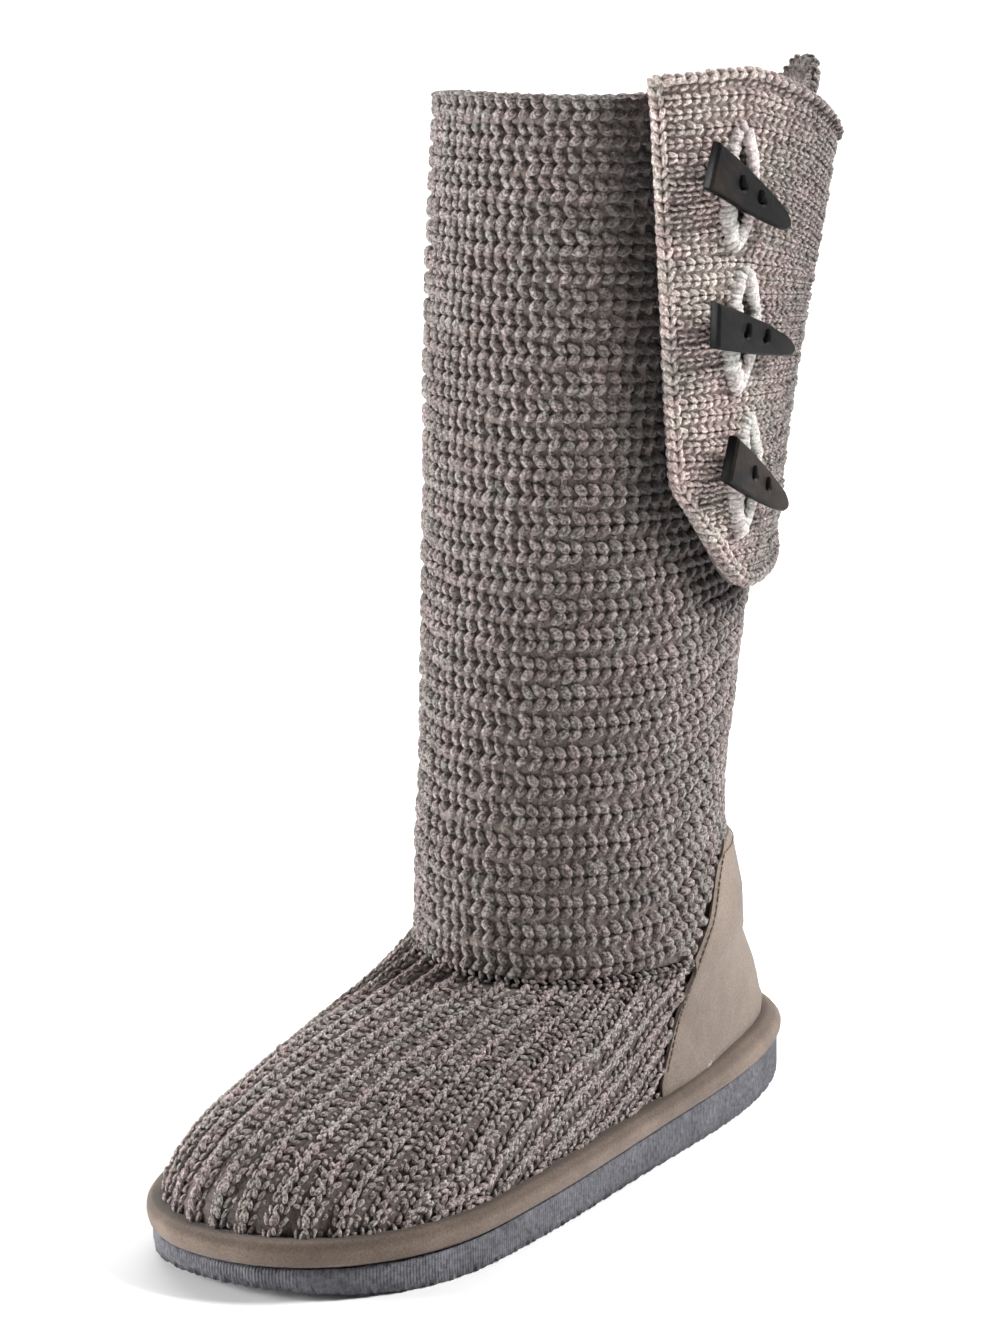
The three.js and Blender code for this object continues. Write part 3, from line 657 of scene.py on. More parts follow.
def yarn_finish(name, dark, mid, light, sheen=0.45, painted_light=None):
    """Melange yarn: streaks of light and dark fibre, a two-ply twist and loose fibres, with painted shadow
    and painted light where given.
    """
    made = Finish(name, 1.0, sheen, 0.0, 0.1)
    uv, tone = made.uv("Yarn"), made.attribute("tone")
    along, around = made.part(uv, "X"), made.part(uv, "Y")
    streak = made.add("ShaderNodeCombineXYZ", {
        "X": made.weighted(along, 5.0, tone, 57.0),
        "Y": made.weighted(around, 15.0, along, 4.0),
        "Z": made.maths("MULTIPLY", tone, 91.0),
    })
    fibres = made.noise(1.0, 2.0, 0.6, streak)
    flecks = made.noise(1100.0, 2.0, 0.6)
    tint = made.ramp(made.weighted(fibres, 0.35, flecks, 0.65), (0.41, dark), (0.49, mid), (0.59, light))
    level = made.weighted(tone, 0.45, made.noise(45.0, 2.0), 0.55)
    tint = made.graded(tint, made.spread(level, 0.1, 0.9, 0.70, 1.30))
    redder, greener = (1.05, 0.98, 0.985, 1.0), (0.965, 1.01, 0.97, 1.0)
    tint = made.times(tint, made.ramp(made.noise(75.0, 1.0), (0.40, redder), (0.60, greener)))
    # Painted shadow: stitches are darkened by their share of it, in place of the flap's cast shadow
    tint = made.mixed(made.attribute("painted_shadow"), tint, made.times(tint, FLAP_PAINTED_SHADOW))
    # Painted light: the colour is scaled along the boot, by the places and shares given
    if painted_light:
        (start, start_share), (end, end_share) = painted_light
        tint = made.graded(tint, made.spread(made.part(made.place, "Y"), start, end, start_share, end_share))
    ply = made.maths("SINE", made.weighted(along, 10.0, around, 2 * math.tau))
    fibre = made.noise(1800.0, 3.0, 0.7)
    return made.done(tint, (ply, 0.30, 0.0004), (fibres, 0.5, 0.0005), (fibre, 0.9, 0.0008))


def valley_finish(name, tint):
    """The back of the knit, seen between the ribs."""
    made = Finish(name, 1.0, 0.1)
    flecks = made.noise(700.0, 4.0, 0.7)
    base = made.ramp(flecks, (0.35, scaled(tint, 0.6)), (0.7, scaled(tint, 1.9)))
    return made.done(base, (flecks, 0.6, 0.0008))


def lining_finish(name, tint):
    """The inside of the knit: rows of small purl bumps."""
    made = Finish(name, 0.95, 0.25)
    rows = made.wave("Z", 36.0, 1.2, 2.0, 3.0)
    flecks = made.noise(500.0, 4.0, 0.7)
    base = made.ramp(flecks, (0.38, scaled(tint, 0.30)), (0.50, tint), (0.64, scaled(tint, 2.2)))
    return made.done(base, (rows, 0.8, 0.002), (flecks, 0.8, 0.0015))


def suede_finish(name, tint, rub, shade_bands=None):
    """Suede: a short brushed nap with soft darker and lighter patches, and bands of painted shade up its
    height if given.
    """
    made = Finish(name, 1.0, 0.15, 0.0, 0.15)
    patches = made.noise(38.0, 4.0, 0.6)
    nap = made.noise(1500.0, 4.0, 0.7)
    base = made.ramp(patches, (0.32, scaled(tint, 0.78)), (0.52, tint), (0.74, scaled(tint, rub)))
    speckles = made.ramp(nap, (0.25, (0.62, 0.60, 0.58, 1.0)), (0.55, WHITE), (0.80, (1.35, 1.32, 1.3, 1.0)))
    base = made.times(base, speckles)
    # Painted shade: bands darken the suede at the heights given, up the piece's wrap
    if shade_bands:
        levels = [(height, grey(level, 0.015)) for height, level in shade_bands]
        base = made.times(base, made.ramp(made.part(made.uv("Wrap"), "Y"), *levels))
    return made.done(base, (patches, 0.15, 0.002), (nap, 0.5, 0.0005))


def foam_finish(name, tint):
    """Foamed rubber: blue-grey with a coarse grain, fine upright ridges and paler patches."""
    made = Finish(name, 0.8, 0.0, 0.0, 0.2)
    grain = made.noise(620.0, 4.0, 0.65)
    pebbles = made.add("ShaderNodeTexVoronoi", {"Vector": made.place, "Scale": 480.0}, "Distance")
    base = made.ramp(made.noise(55.0, 3.0), (0.3, scaled(tint, 0.78)), (0.7, scaled(tint, 1.3)))
    speckles = made.ramp(grain, (0.3, (0.55, 0.55, 0.56, 1.0)), (0.7, (1.4, 1.4, 1.38, 1.0)))
    ridges = made.maths("SINE", made.maths("MULTIPLY", made.part(made.uv("Wrap"), "X"), 640 * math.tau))
    bumps = (pebbles, 0.5, 0.0008), (grain, 0.7, 0.0008), (ridges, 0.35, 0.0004)
    return made.done(made.times(base, speckles), *bumps)


def fleece_finish(name, tint):
    """Short curly fleece."""
    made = Finish(name, 1.0, 0.5)
    curls = made.noise(260.0, 5.0, 0.7)
    base = made.ramp(curls, (0.3, scaled(tint, 0.55)), (0.65, scaled(tint, 1.3)))
    return made.done(base, (curls, 1.0, 0.003))


def horn_finish(name, tint, brown):
    """Dark horn: browner patches and faint streaks under a soft polish."""
    made = Finish(name, 0.5, 0.0, 0.02, 0.10)
    streaks = made.wave("DIAGONAL", 130.0, 9.0, 4.0, 1.5)
    lined = made.ramp(streaks, (0.2, grey(0.9)), (0.8, grey(1.1)))
    patches = made.ramp(made.noise(45.0, 2.0), (0.45, tint), (0.62, brown))
    return made.done(made.times(patches, lined), (made.noise(900.0), 0.25, 0.0004))


def finishes(colours):
    """Every material of the boot, by name."""
    knit = colours.knit_dark, colours.knit_mid, colours.knit_light
    flap = colours.flap_dark, colours.flap_mid, colours.flap_light
    foot = [scaled(tint, by) for tint, by in zip(knit, FOOT_LIGHTER)]
    range_of = lambda tint, *shares: [scaled(tint, by) for by in shares]
    return {
        "knit": yarn_finish("Knit yarn", *knit),
        "foot": yarn_finish("Foot yarn", *foot),
        # The flap's yarn gets painted light, lightest by its free edge
        "flap": yarn_finish("Flap yarn", *flap, painted_light=FLAP_PAINTED_LIGHT),
        "pale": yarn_finish("Pale yarn", *range_of(colours.pale, 0.70, 1.0, 1.25)),
        "thread": yarn_finish("Thread", *range_of(colours.thread, 0.7, 1.0, 1.3), sheen=0.1),
        "black": yarn_finish("Black thread", *range_of(colours.horn, 0.2, 0.25, 0.4), sheen=0.0),
        "valley": valley_finish("Knit valley", colours.valley),
        # Painted shade: the foot's valley colour is far darker than its yarn, in place of the grooves' shade
        "foot_valley": valley_finish("Foot valley", colours.foot_valley),
        "flap_valley": valley_finish("Flap valley", colours.flap_valley),
        "lining": lining_finish("Knit inside", colours.knit_mid),
        "flap_lining": lining_finish("Flap inside", colours.flap_valley),
        "suede": suede_finish("Counter suede", colours.suede, 1.16),
        "rand": suede_finish("Rand suede", colours.rand, 1.35, RAND_PAINTED_SHADE),
        "foam": foam_finish("Foamed rubber", colours.foam),
        "fleece": fleece_finish("Fleece", colours.fleece),
        "horn": horn_finish("Horn", colours.horn, colours.horn_brown),
        # A near-black copy of the horn, as painted shade on the toggles' sides
        "horn_painted_shade": horn_finish("Horn edge", *range_of(colours.horn, 0.3, 0.35)),
    }


MADE = {}


def finish_of(name):
    """A material by name, made on first use."""
    if not MADE:
        MADE.update(finishes(bpy.context.scene.boot_colours))
    return MADE[name]


# Steps that build the boot
class BOOT_OT_walls(bpy.types.Operator):
    """Make the walls under the knit of shaft, foot and flap"""

    bl_idname = "boot.walls"
    bl_label = "Walls"

    # Node, piece, share of the valleys' depth, slot, finishes of outside and inside, angle of sharp edges
    WALLS = (
        ("shaft", "shaft_wall", 1.0, "knit", ("valley", "lining"), None),
        ("upper", "foot_wall", 0.9, "knit", ("foot_valley", "lining"), None),
        ("button_flap", "flap_wall", 0.75, "flap_knit", ("flap_valley", "flap_lining"), 50),
    )
    DRAWN = {"shaft": peak_push, "upper": heel_draw}
    # A face of the flap that turns inwards by less than this share still has the outside's finish
    FLAP_EDGE = -0.3

    def execute(self, context):
        for node, name, share, slot, used, sharp in self.WALLS:
            bm = merged_copy(node)
            outside = {vert for vert in bm.verts if vert.normal.dot(self.away(node, vert.co)) > 0.0}
            for vert in bm.verts:
                if vert in outside:
                    vert.co -= vert.normal * context.scene.boot_knit.depth * share
                if node in self.DRAWN:
                    vert.co += self.DRAWN[node](vert.co)
            for face in bm.faces:
                shown = any(vert in outside for vert in face.verts)
                if node == "button_flap":
                    away = from_axis(face.calc_center_median())
                    shown = face.normal.dot(away) > self.FLAP_EDGE * away.length
                face.material_index = 0 if shown else 1
            placed(name, mesh_from(bm, name, sharp), slot, *used, node=node)
        return {"FINISHED"}

    def away(self, node, spot):
        """Direction out of a wall at a spot."""
        if node != "upper":
            return from_axis(spot)
        reach = FOOT_CORE["half_length"]
        return spot - Vector((FOOT_MIDDLE.x, min(max(spot.y, -reach), reach), FOOT_CORE["height"]))


class BOOT_OT_shaft_knit(bpy.types.Operator):
    """Knit the ribs of the shaft, stitch by stitch"""

    bl_idname = "boot.shaft_knit"
    bl_label = "Shaft knit"

    ANGLES = np.linspace(0.0, math.tau, 120, endpoint=False)
    # How far the stitches stand out of the CAD wall, and their least depth
    CREST = 0.3 * MM
    LEAST_DEPTH = 6.5 * MM
    # Heights between which the seam and the rim are looked for
    SEAM_BAND = (0.046, 0.075)
    RIM_BAND = (0.345, 0.305)
    # Places along the boot where the climb over the heel and the climb to the back begin and are full
    HEEL_SPAN = (0.020, 0.095)
    BACK_SPAN = (-0.01, 0.12)
    # Half the shaft's depth from front to back
    HALF_DEPTH = 0.058
    # A rib clears the seam by this much, and is probed at least so far from the seam and the rim
    CLEAR = 2.0 * MM
    MARGINS = (1.0 * MM, 0.3 * MM)
    # How far past a stitch, in stitches and in height, the flap and the counter reach where they hide it
    HIDES = ((2.5, 8 * MM), (1.2, 4 * MM))
    # Random turn, size, sink and slip of the stitches, and of those on the rim and the seam
    SHAKE = (0.10, 0.07, 0.18 * MM, 0.20 * MM)
    RIM_SHAKE = (0.05, 0.05, 0.1 * MM)
    SEAM_SHAKE = (0.2, 0.08, 0.15 * MM)
    # Ribs that begin below the seam and climb over the heel, and ribs down the inside of the collar
    EXTRA_RIBS = 3
    INSIDE_RIBS = 4
    # Where the ribs inside the collar, the chain on the rim and the chain in the seam lie
    INSIDE = {"in": 4.7 * MM, "first": 0.3}
    RIM = {"probe": 1.0 * MM, "in": 1.9 * MM, "up": 1.5 * MM, "width": 5.4 * MM}
    SEAM_CHAIN = {"probe": 0.8 * MM, "down": 0.6 * MM, "out": 0.9 * MM, "tilt": 0.5, "width": 4.6 * MM,
                  "pitch": 2.9 * MM}
    # Stitches of the ribs, the valleys, the rim and the seam, in units of a rib's width
    STITCH = {"pitch": 0.49, "back": -0.17, "ahead": 0.18, "wide_end": 0.37, "apex": 0.05, "wide": 0.19,
              "tall": 0.20, "over": 0.18, "turn": 0.1, "dive": 0.0}
    VALLEY = {"pitch": 0.49, "shift": -0.14, "reach": 0.20, "thick": 0.16, "low": -0.34}
    EDGE_STITCH = {"pitch": 0.50, "wide_end": 0.42, "wide": 0.15, "over": 0.14, "fineness": PLAIN_LEG}
    SEAM_STITCH = {"pitch": 0.63, "wide_end": 0.36, "wide": 0.16, "tall": 0.2, "over": 0.2}
    PIECES = 3

    def execute(self, context):
        knit = context.scene.boot_knit
        random = np.random.default_rng(SEED)
        tree, flap, counter = tree_of("shaft"), tree_of("button_flap"), tree_of("heel_counter")
        ends = seam, rim = self.ends(tree)
        ribs = self.ribs(float(np.mean(rim - seam)), knit)
        places = self.stitches(tree, flap, counter, ends, ribs, 0.0, knit, random)
        valleys = self.stitches(tree, flap, counter, ends, ribs, -0.5, knit, random)
        array_piece("shaft_valleys", valley_stitch(**self.VALLEY), valleys, random, "knit")
        order = np.argsort(places["middle"][:, 2], kind="stable")
        stitch = knit_stitch(**self.STITCH)
        for i, part in enumerate(np.array_split(order, self.PIECES), 1):
            array_piece(f"shaft_knit_{i}", stitch, picked(places, part), random, "knit")
        self.collar(tree, rim, knit, random)
        self.seam(tree, seam, counter, random)
        return {"FINISHED"}

    def ends(self, tree):
        """Heights of the seam and the rim round the shaft."""
        edge = lambda angle, band: first_hit(lambda z: round_hit(tree, angle, z) is not None, *band)
        seam, rim = ([edge(angle, band) for angle in self.ANGLES] for band in (self.SEAM_BAND, self.RIM_BAND))
        return smooth_ring(np.array(seam)), np.array(rim)

    def ribs(self, height, knit):
        """Middle and thickness of each rib as shares of the shaft's height, and its thickness as a length."""
        count = round(height / ((knit.ankle_rib + knit.collar_rib) / 2))
        pitches = np.linspace(knit.ankle_rib, knit.collar_rib, count)
        pitches *= height / pitches.sum()
        pitches = np.concatenate([np.full(self.EXTRA_RIBS, pitches[0]), pitches])
        middles = np.cumsum(pitches) - pitches / 2 - self.EXTRA_RIBS * pitches[0]
        return [(middle / height, pitch / height, pitch) for middle, pitch in zip(middles, pitches)]

    def stitches(self, tree, flap, counter, ends, ribs, shift, knit, random):
        """The stitches of every rib, or with a shift of half a rib those of the valleys."""
        rows = []
        for middle, thick, pitch in ribs:
            points, normals, widths, shown = self.rib(tree, *ends, middle + shift * thick, thick, knit)
            row = row_places(points, normals, None, pitch, True, knit.stitches_round)
            row = fitted(row, points, widths, self.LEAST_DEPTH)
            rows.append(picked(row, shown[nearest_to(points, row["middle"])]))
        places = joined_places(rows)
        places = picked(places, ~self.hidden(places, flap, counter))
        places["middle"] += np.array([peak_push(spot) for spot in places["middle"]])
        # Painted shadow: the nearer a stitch lies to the flap, the darker its tint, in place of the flap's
        # cast shadow
        apart = np.array([flap.find_nearest(spot)[3] for spot in places["middle"]])
        places["painted_shadow"] = 1.0 - smoothstep(*FLAP_PAINTED_SHADOW_REACH, apart)
        return shaken(places, random, *self.SHAKE)

    def rib(self, tree, seam, rim, share, thick, knit):
        """Points and normals round one rib, its width at each, and whether it clears the seam there."""

        def heights(part):
            level = seam + (rim - seam) * part
            middles = np.array([axis_at(z).y for z in level])
            back = middles - np.cos(self.ANGLES) * self.HALF_DEPTH
            lift = knit.heel_lift * smoothstep(*self.HEEL_SPAN, back)
            above = (rim - seam) * max(part, 0.0)
            tilt = knit.back_rise * (1.0 - part) * smoothstep(*self.BACK_SPAN, back)
            return np.minimum(level + lift * np.exp(-above / knit.heel_fade) + tilt, rim)

        middle = heights(share)
        widths = heights(share + thick / 2) - heights(share - thick / 2)
        levels = np.minimum(np.maximum(middle, seam + self.MARGINS[0]), rim - self.MARGINS[1])
        points, normals = arrays_of([round_hit(tree, angle, z) for angle, z in zip(self.ANGLES, levels)])
        normals = smooth_ring(normals, 3)
        return points + unit_rows(normals) * self.CREST, normals, widths, middle > seam + self.CLEAR

    def hidden(self, places, flap, counter):
        """Stitches that the flap or the heel counter covers, with some room all round."""
        covered = []
        for middle, along in zip(places["middle"], places["along"]):
            axis, away = axis_at(middle[2]), from_axis(middle)

            def under(tree, stitches, height):
                shifts = (along * stitches, along * -stitches, UP * height, UP * -height)
                return all(cast(tree, axis + Vector(shift), away) is not None for shift in shifts)

            covered.append(any(under(tree, *reach) for tree, reach in zip((flap, counter), self.HIDES)))
        return np.array(covered)

    def collar(self, tree, rim, knit, random):
        """The cast-off edge: a chain of stitches over the rim, and a few ribs down the inside."""
        hits = [round_hit(tree, angle, top - self.RIM["probe"]) for angle, top in zip(self.ANGLES, rim)]
        levels = [(normal * LEVEL).normalized() for _, normal in hits]
        over = [spot - level * self.RIM["in"] + UP * self.RIM["up"] for (spot, _), level in zip(hits, levels)]
        inner = np.array([spot - level * self.INSIDE["in"] for (spot, _), level in zip(hits, levels)])[::-1]
        facing = -np.array(levels)[::-1]
        rounds = {"closed": True, "count": knit.stitches_round}
        tops = np.tile(UP[:], (len(over), 1))
        rows = [row_places(np.array(over), tops, None, self.RIM["width"], **rounds)]
        for k in range(self.INSIDE_RIBS):
            down = np.array((0.0, 0.0, knit.collar_rib * (k + self.INSIDE["first"])))
            rows.append(row_places(inner - down, facing, None, knit.collar_rib, **rounds))
        places = shaken(joined_places(rows), random, *self.RIM_SHAKE)
        places["middle"] += np.array([peak_push(spot) for spot in places["middle"]])
        array_piece("collar_edge", knit_stitch(**self.EDGE_STITCH), places, random, "knit")

    def seam(self, tree, seam, counter, random):
        """The linking chain in the corner between shaft and foot."""
        chain, points, normals = self.SEAM_CHAIN, [], []
        for angle, z in zip(self.ANGLES, seam):
            spot, normal = round_hit(tree, angle, z + chain["probe"])
            level = (normal * LEVEL).normalized()
            points.append(spot + level * chain["out"] - UP * chain["down"])
            normals.append(level + UP * chain["tilt"])
        points, normals = np.array(points), unit_rows(np.array(normals))
        places = row_places(points, normals, chain["pitch"], chain["width"], True)
        shown = [cast(counter, axis_at(spot[2]), from_axis(spot)) is None for spot in places["middle"]]
        places = shaken(picked(places, np.array(shown)), random, *self.SEAM_SHAKE)
        array_piece("seam_chain", knit_stitch(**self.SEAM_STITCH), places, random, "knit")


class BOOT_OT_foot_knit(bpy.types.Operator):
    """Knit the ribs of the foot, along it and over the toe"""

    bl_idname = "boot.foot_knit"
    bl_label = "Foot knit"

    # How far the stitches stand out of the CAD wall, and their least depth
    CREST = 0.3 * MM
    LEAST_DEPTH = 3.6 * MM
    # Places of the ankle, the toe and the back along the boot, and the spacing of the cuts between them
    ANKLE_Y = -0.0112
    TOE_Y = -0.110
    BACK_Y = 0.062
    STATION = 3 * MM
    # Tilts of the cuts over the toe, and angles of the probes down each cut
    FAN = np.radians(np.linspace(88.0, 3.0, 28))
    SPREAD = np.radians(np.linspace(0.0, 100.0, 81))
    # Ribs on each side, how far the first lies from the middle, and how near the counter they end
    RIBS = 16
    FIRST = -2.3 * MM
    COUNTER_GAP = 4 * MM
    # The two columns of a rib: how far from its middle, how wide, and how far they lean apart
    COLUMN = 0.19
    COLUMN_WIDTH = 0.43
    LEAN = math.radians(28)
    # The grains at the bottom of the grooves between ribs
    GROOVE = {"down": 2.1 * MM, "pitch": 2.6 * MM, "width": 1.9 * MM}
    GROOVE_STITCH = {"reach": 0.46, "wide": 0.42, "tall": 0.45}
    # Random turn, size, sink and slip of the stitches, and of those in the grooves
    SHAKE = (0.16, 0.10, 0.15 * MM, 0.20 * MM)
    GROOVE_SHAKE = (0.7, 0.18, 0.25 * MM, 0.3 * MM)
    STITCH = {"pitch": 0.86, "back": -0.34, "ahead": 0.38, "wide_end": 0.42, "apex": 0.12, "wide": 0.20,
              "tall": 0.25, "over": 0.14, "turn": 0.1, "fineness": PLAIN_LEG}

    def execute(self, context):
        knit = context.scene.boot_knit
        random = np.random.default_rng(SEED + 1)
        tree, counter = tree_of("upper"), tree_of("heel_counter")
        rows, grooves = [], []
        for side in (1.0, -1.0):
            ankle = [self.section(tree, *station, side) for station in self.behind()]
            front = [self.section(tree, *station, side) for station in self.stations()]
            runs = lambda k: self.runs(counter, ankle, front, k, side, knit)
            for k in range(0 if side < 0 else 1, self.RIBS):
                for column in (-1.0, 1.0):
                    for points, normals, widths in runs(k + column * self.COLUMN):
                        crest = points + normals * self.CREST
                        row = row_places(crest, normals, knit.foot_stitch, knit.toe_rib)
                        row = fitted(row, points, widths * self.COLUMN_WIDTH, self.LEAST_DEPTH)
                        rows.append(leaned(row, side * column * self.LEAN))
            for k in range(self.RIBS):
                for points, normals, _ in runs(k + 0.5):
                    low = points - normals * self.GROOVE["down"]
                    grooves.append(row_places(low, normals, self.GROOVE["pitch"], self.GROOVE["width"]))
        places = shaken(joined_places(rows), random, *self.SHAKE)
        stitch, half = knit_stitch(**self.STITCH), len(places["middle"]) // 2
        for i, part in enumerate((slice(None, half), slice(half, None)), 1):
            array_piece(f"foot_knit_{i}", stitch, picked(places, part), random, "foot")
        places = shaken(joined_places(grooves), random, *self.GROOVE_SHAKE)
        array_piece("foot_grooves", thread_stitch(**self.GROOVE_STITCH), places, random, "foot")
        return {"FINISHED"}

    def upright(self, ys):
        """Upright cutting planes: the middle of each, and its up direction."""
        return [(Vector((FOOT_MIDDLE.x, y, FOOT_MIDDLE.z)), UP) for y in ys]

    def stations(self):
        """Cutting planes from the ankle to the toe: upright ones, then a fan over the toe."""
        fan = [(FOOT_MIDDLE, Vector((0, -math.cos(a), math.sin(a)))) for a in self.FAN]
        return self.upright(np.arange(self.ANKLE_Y, FOOT_MIDDLE.y, -self.STATION)) + fan

    def behind(self):
        """Cutting planes behind the ankle, from there to the back."""
        return self.upright(np.arange(self.ANKLE_Y + self.STATION, self.BACK_Y, self.STATION))

    def section(self, tree, middle, up, side):
        """Surface points and normals down one side of a section, with their girth from its first one."""
        sideways = Vector((side, 0, 0))
        hits = [cast(tree, middle, sideways * math.sin(a) + up * math.cos(a)) for a in self.SPREAD]
        points, normals = arrays_of([hit for hit in hits if hit is not None])
        girth = np.concatenate([[0.0], np.cumsum(np.linalg.norm(np.diff(points, axis=0), axis=1))])
        return points, normals, girth

    def runs(self, counter, ankle, front, k, side, knit):
        """The smoothed run of one rib, if it is long enough to knit."""
        run = self.rib(counter, ankle, front, k, side, knit)
        if len(run) > 3:
            points, normals, widths = (np.array(part) for part in zip(*run))
            yield smooth_run(points, 3), unit_rows(smooth_run(normals, 4)), widths

    def rib(self, counter, ankle, front, k, side, knit):
        """Points, normals and widths along one rib, from the counter or the ankle seam to the rand."""
        run, back, low = [], [], None
        for points, normals, girth in front:
            near = smoothstep(self.ANKLE_Y, self.TOE_Y, points[0][1])
            width = knit.instep_rib + (knit.toe_rib - knit.instep_rib) * near
            wanted = k * width + side * self.FIRST
            if low is None:
                low = girth[-1] - wanted
            if 0.0 <= wanted <= girth[-1]:
                run.append(self.on(points, normals, girth, wanted, width))
        for points, normals, girth in ankle:
            up = low + math.tan(knit.side_rise) * (points[0][1] - self.ANKLE_Y)
            if up > girth[-1]:
                break
            if up > 0.0:
                made = self.on(points, normals, girth, girth[-1] - up, knit.instep_rib)
                ahead = Vector((FOOT_MIDDLE.x, made[0][1] - self.COUNTER_GAP, made[0][2]))
                if cast(counter, ahead, Vector((side, 0, 0))) is not None:
                    break
                back.append(made)
        return back[::-1] + run

    def on(self, points, normals, girth, wanted, width):
        """The point and normal at a girth down a section, and a width."""
        place = lambda table: [np.interp(wanted, girth, table[:, axis]) for axis in range(3)]
        return place(points), place(normals), width


class BOOT_OT_flap_knit(bpy.types.Operator):
    """Knit the flap's rows, and chain its edge"""

    bl_idname = "boot.flap_knit"
    bl_label = "Flap knit"

    # How far the rows stand out of the CAD wall, more and less by turns, and the stitches' least depth
    CREST = 0.2 * MM
    RAISED = 0.20 * MM
    LEAST_DEPTH = 3.8 * MM
    # Angles of the probes, and heights between which the top and bottom edges are looked for
    ANGLES = np.radians(np.arange(20.0, 175.0, 0.75))
    TOP_BAND = (0.350, 0.290)
    BOTTOM_BAND = (0.165, 0.250)
    # Height below the peak over which the rows lose the slope of the top edge
    SLOPE_SPAN = 0.11
    # How the rows pucker towards the buttonholes, on the flap's radius
    RADIUS = 0.055
    PUCKER = {"pull": 0.22, "up": 0.020, "round": 0.022}
    # Random turn, size, sink and slip of the stitches, and of those of the chain and the top edge
    SHAKE = (0.13, 0.10, 0.12 * MM, 0.12 * MM)
    CHAIN_SHAKE = (0.08, 0.06, 0.1 * MM)
    RIM_SHAKE = (0.12, 0.08, 0.15 * MM)
    # Angles between which the free and the rear edge are looked for, in degrees, and the probes along each
    FREE_EDGE, FREE_PROBES = (20, 100), 70
    REAR_EDGE, REAR_PROBES = (178, 90), 60
    # The chain: how far inside the edges it lies, where its parts end, and its second row on the side
    INSET = math.radians(1.6)
    RAISE = 0.5 * MM
    END_GAP = 3 * MM
    REAR_UP = 2 * MM
    BOTTOM_UP = 1.8 * MM
    CORNER_UP = 34 * MM
    SIDE = {"out": 2.2 * MM, "down": 2.2 * MM, "width": 4.8 * MM}
    RIM = {"down": 0.8 * MM, "up": 0.7 * MM, "pitch": 3.5 * MM, "width": 5.0 * MM, "tilt": 1.2}
    STITCH = {"pitch": 0.72, "back": -0.24, "ahead": 0.28, "wide_end": 0.36, "apex": 0.10, "wide": 0.19,
              "tall": 0.25, "over": 0.34, "fineness": PLAIN_LEG}
    CHAIN = {"pitch": 0.68, "back": -0.30, "ahead": 0.40, "wide_end": 0.34, "apex": 0.07, "wide": 0.18,
             "tall": 0.26, "crest": 0.16, "over": 0.08, "turn": 0.0, "dive": 0.2}

    def execute(self, context):
        knit = context.scene.boot_knit
        random = np.random.default_rng(SEED + 2)
        tree = tree_of("button_flap")
        low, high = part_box("button_flap")
        tops, bottoms = self.edge(tree, self.TOP_BAND), self.edge(tree, self.BOTTOM_BAND)
        holes = [sum(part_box(f"buttonhole_edge_{i}"), Vector()) / 2 for i in (1, 2, 3)]
        level = lambda height: self.heights(height, tops, high.z, holes)
        half = knit.flap_rib / 2
        rows = []
        for i, z in enumerate(np.arange(high.z - half, low.z, -knit.flap_rib)):
            raised = self.CREST + (self.RAISED if i % 2 else -self.RAISED)
            for points, normals, wide in self.runs(tree, level(z), level(z + half) - level(z - half)):
                normals = unit_rows(smooth_run(normals, 3))
                row = row_places(points + normals * raised, normals, knit.flap_stitch, knit.flap_rib)
                rows.append(fitted(row, points, wide, self.LEAST_DEPTH))
        places = shaken(joined_places(rows), random, *self.SHAKE)
        array_piece("flap_knit", knit_stitch(**self.STITCH), places, random, "flap", "flap_knit")
        self.chain(self.outline(tree, high.z, tops, bottoms), knit, random)
        self.rim(tree, tops, random)
        return {"FINISHED"}

    def edge(self, tree, band):
        """Height of the flap's edge at each angle, from a band outside it, or NaN where there is no flap."""
        found = [first_hit(lambda z: round_hit(tree, angle, z) is not None, *band) for angle in self.ANGLES]
        return np.array([np.nan if z is None else z for z in found])

    def heights(self, z, tops, peak, holes):
        """Heights along one row: it slopes with the top edge, and puckers towards the buttonholes."""
        drop = np.nan_to_num(tops - peak, nan=0.0)
        level = z + drop * smoothstep(peak - self.SLOPE_SPAN, peak, z)
        for hole in holes:
            near = np.exp(-((self.ANGLES - angle_of(hole)) * self.RADIUS / self.PUCKER["round"]) ** 2)
            off = level - hole.z
            level = level - off * self.PUCKER["pull"] * near * np.exp(-(off / self.PUCKER["up"]) ** 2)
        return level

    def runs(self, tree, heights, widths):
        """Runs of points along one row, broken at the flap's edges and its slits."""
        runs = [[]]
        for angle, height, width in zip(self.ANGLES, heights, widths):
            hit = round_hit(tree, angle, height)
            if hit is None:
                runs.append([])
            else:
                runs[-1].append((hit[0][:], hit[1][:], width))
        return [tuple(np.array(part) for part in zip(*run)) for run in runs if len(run) > 3]

    def outline(self, tree, peak, tops, bottoms):
        """Hits down the free edge of the flap, along its bottom and up its rear edge."""
        run = []
        for z in np.linspace(peak - self.END_GAP, np.nanmin(bottoms) + self.CORNER_UP, self.FREE_PROBES):
            run.append(round_hit(tree, first_angle(tree, z, *self.FREE_EDGE) + self.INSET, z))
        last = angle_of(run[-1][0])
        ends = [(angle, z) for angle, z in zip(self.ANGLES, bottoms) if angle > last and np.isfinite(z)]
        hits = [round_hit(tree, angle, z + self.BOTTOM_UP) for angle, z in ends]
        run += [hit for hit in hits if hit is not None]
        rear = tops[np.isfinite(tops)][-1]
        for z in np.linspace(run[-1][0].z + self.REAR_UP, rear - self.END_GAP, self.REAR_PROBES):
            run.append(round_hit(tree, first_angle(tree, z, *self.REAR_EDGE) - self.INSET, z))
        return run

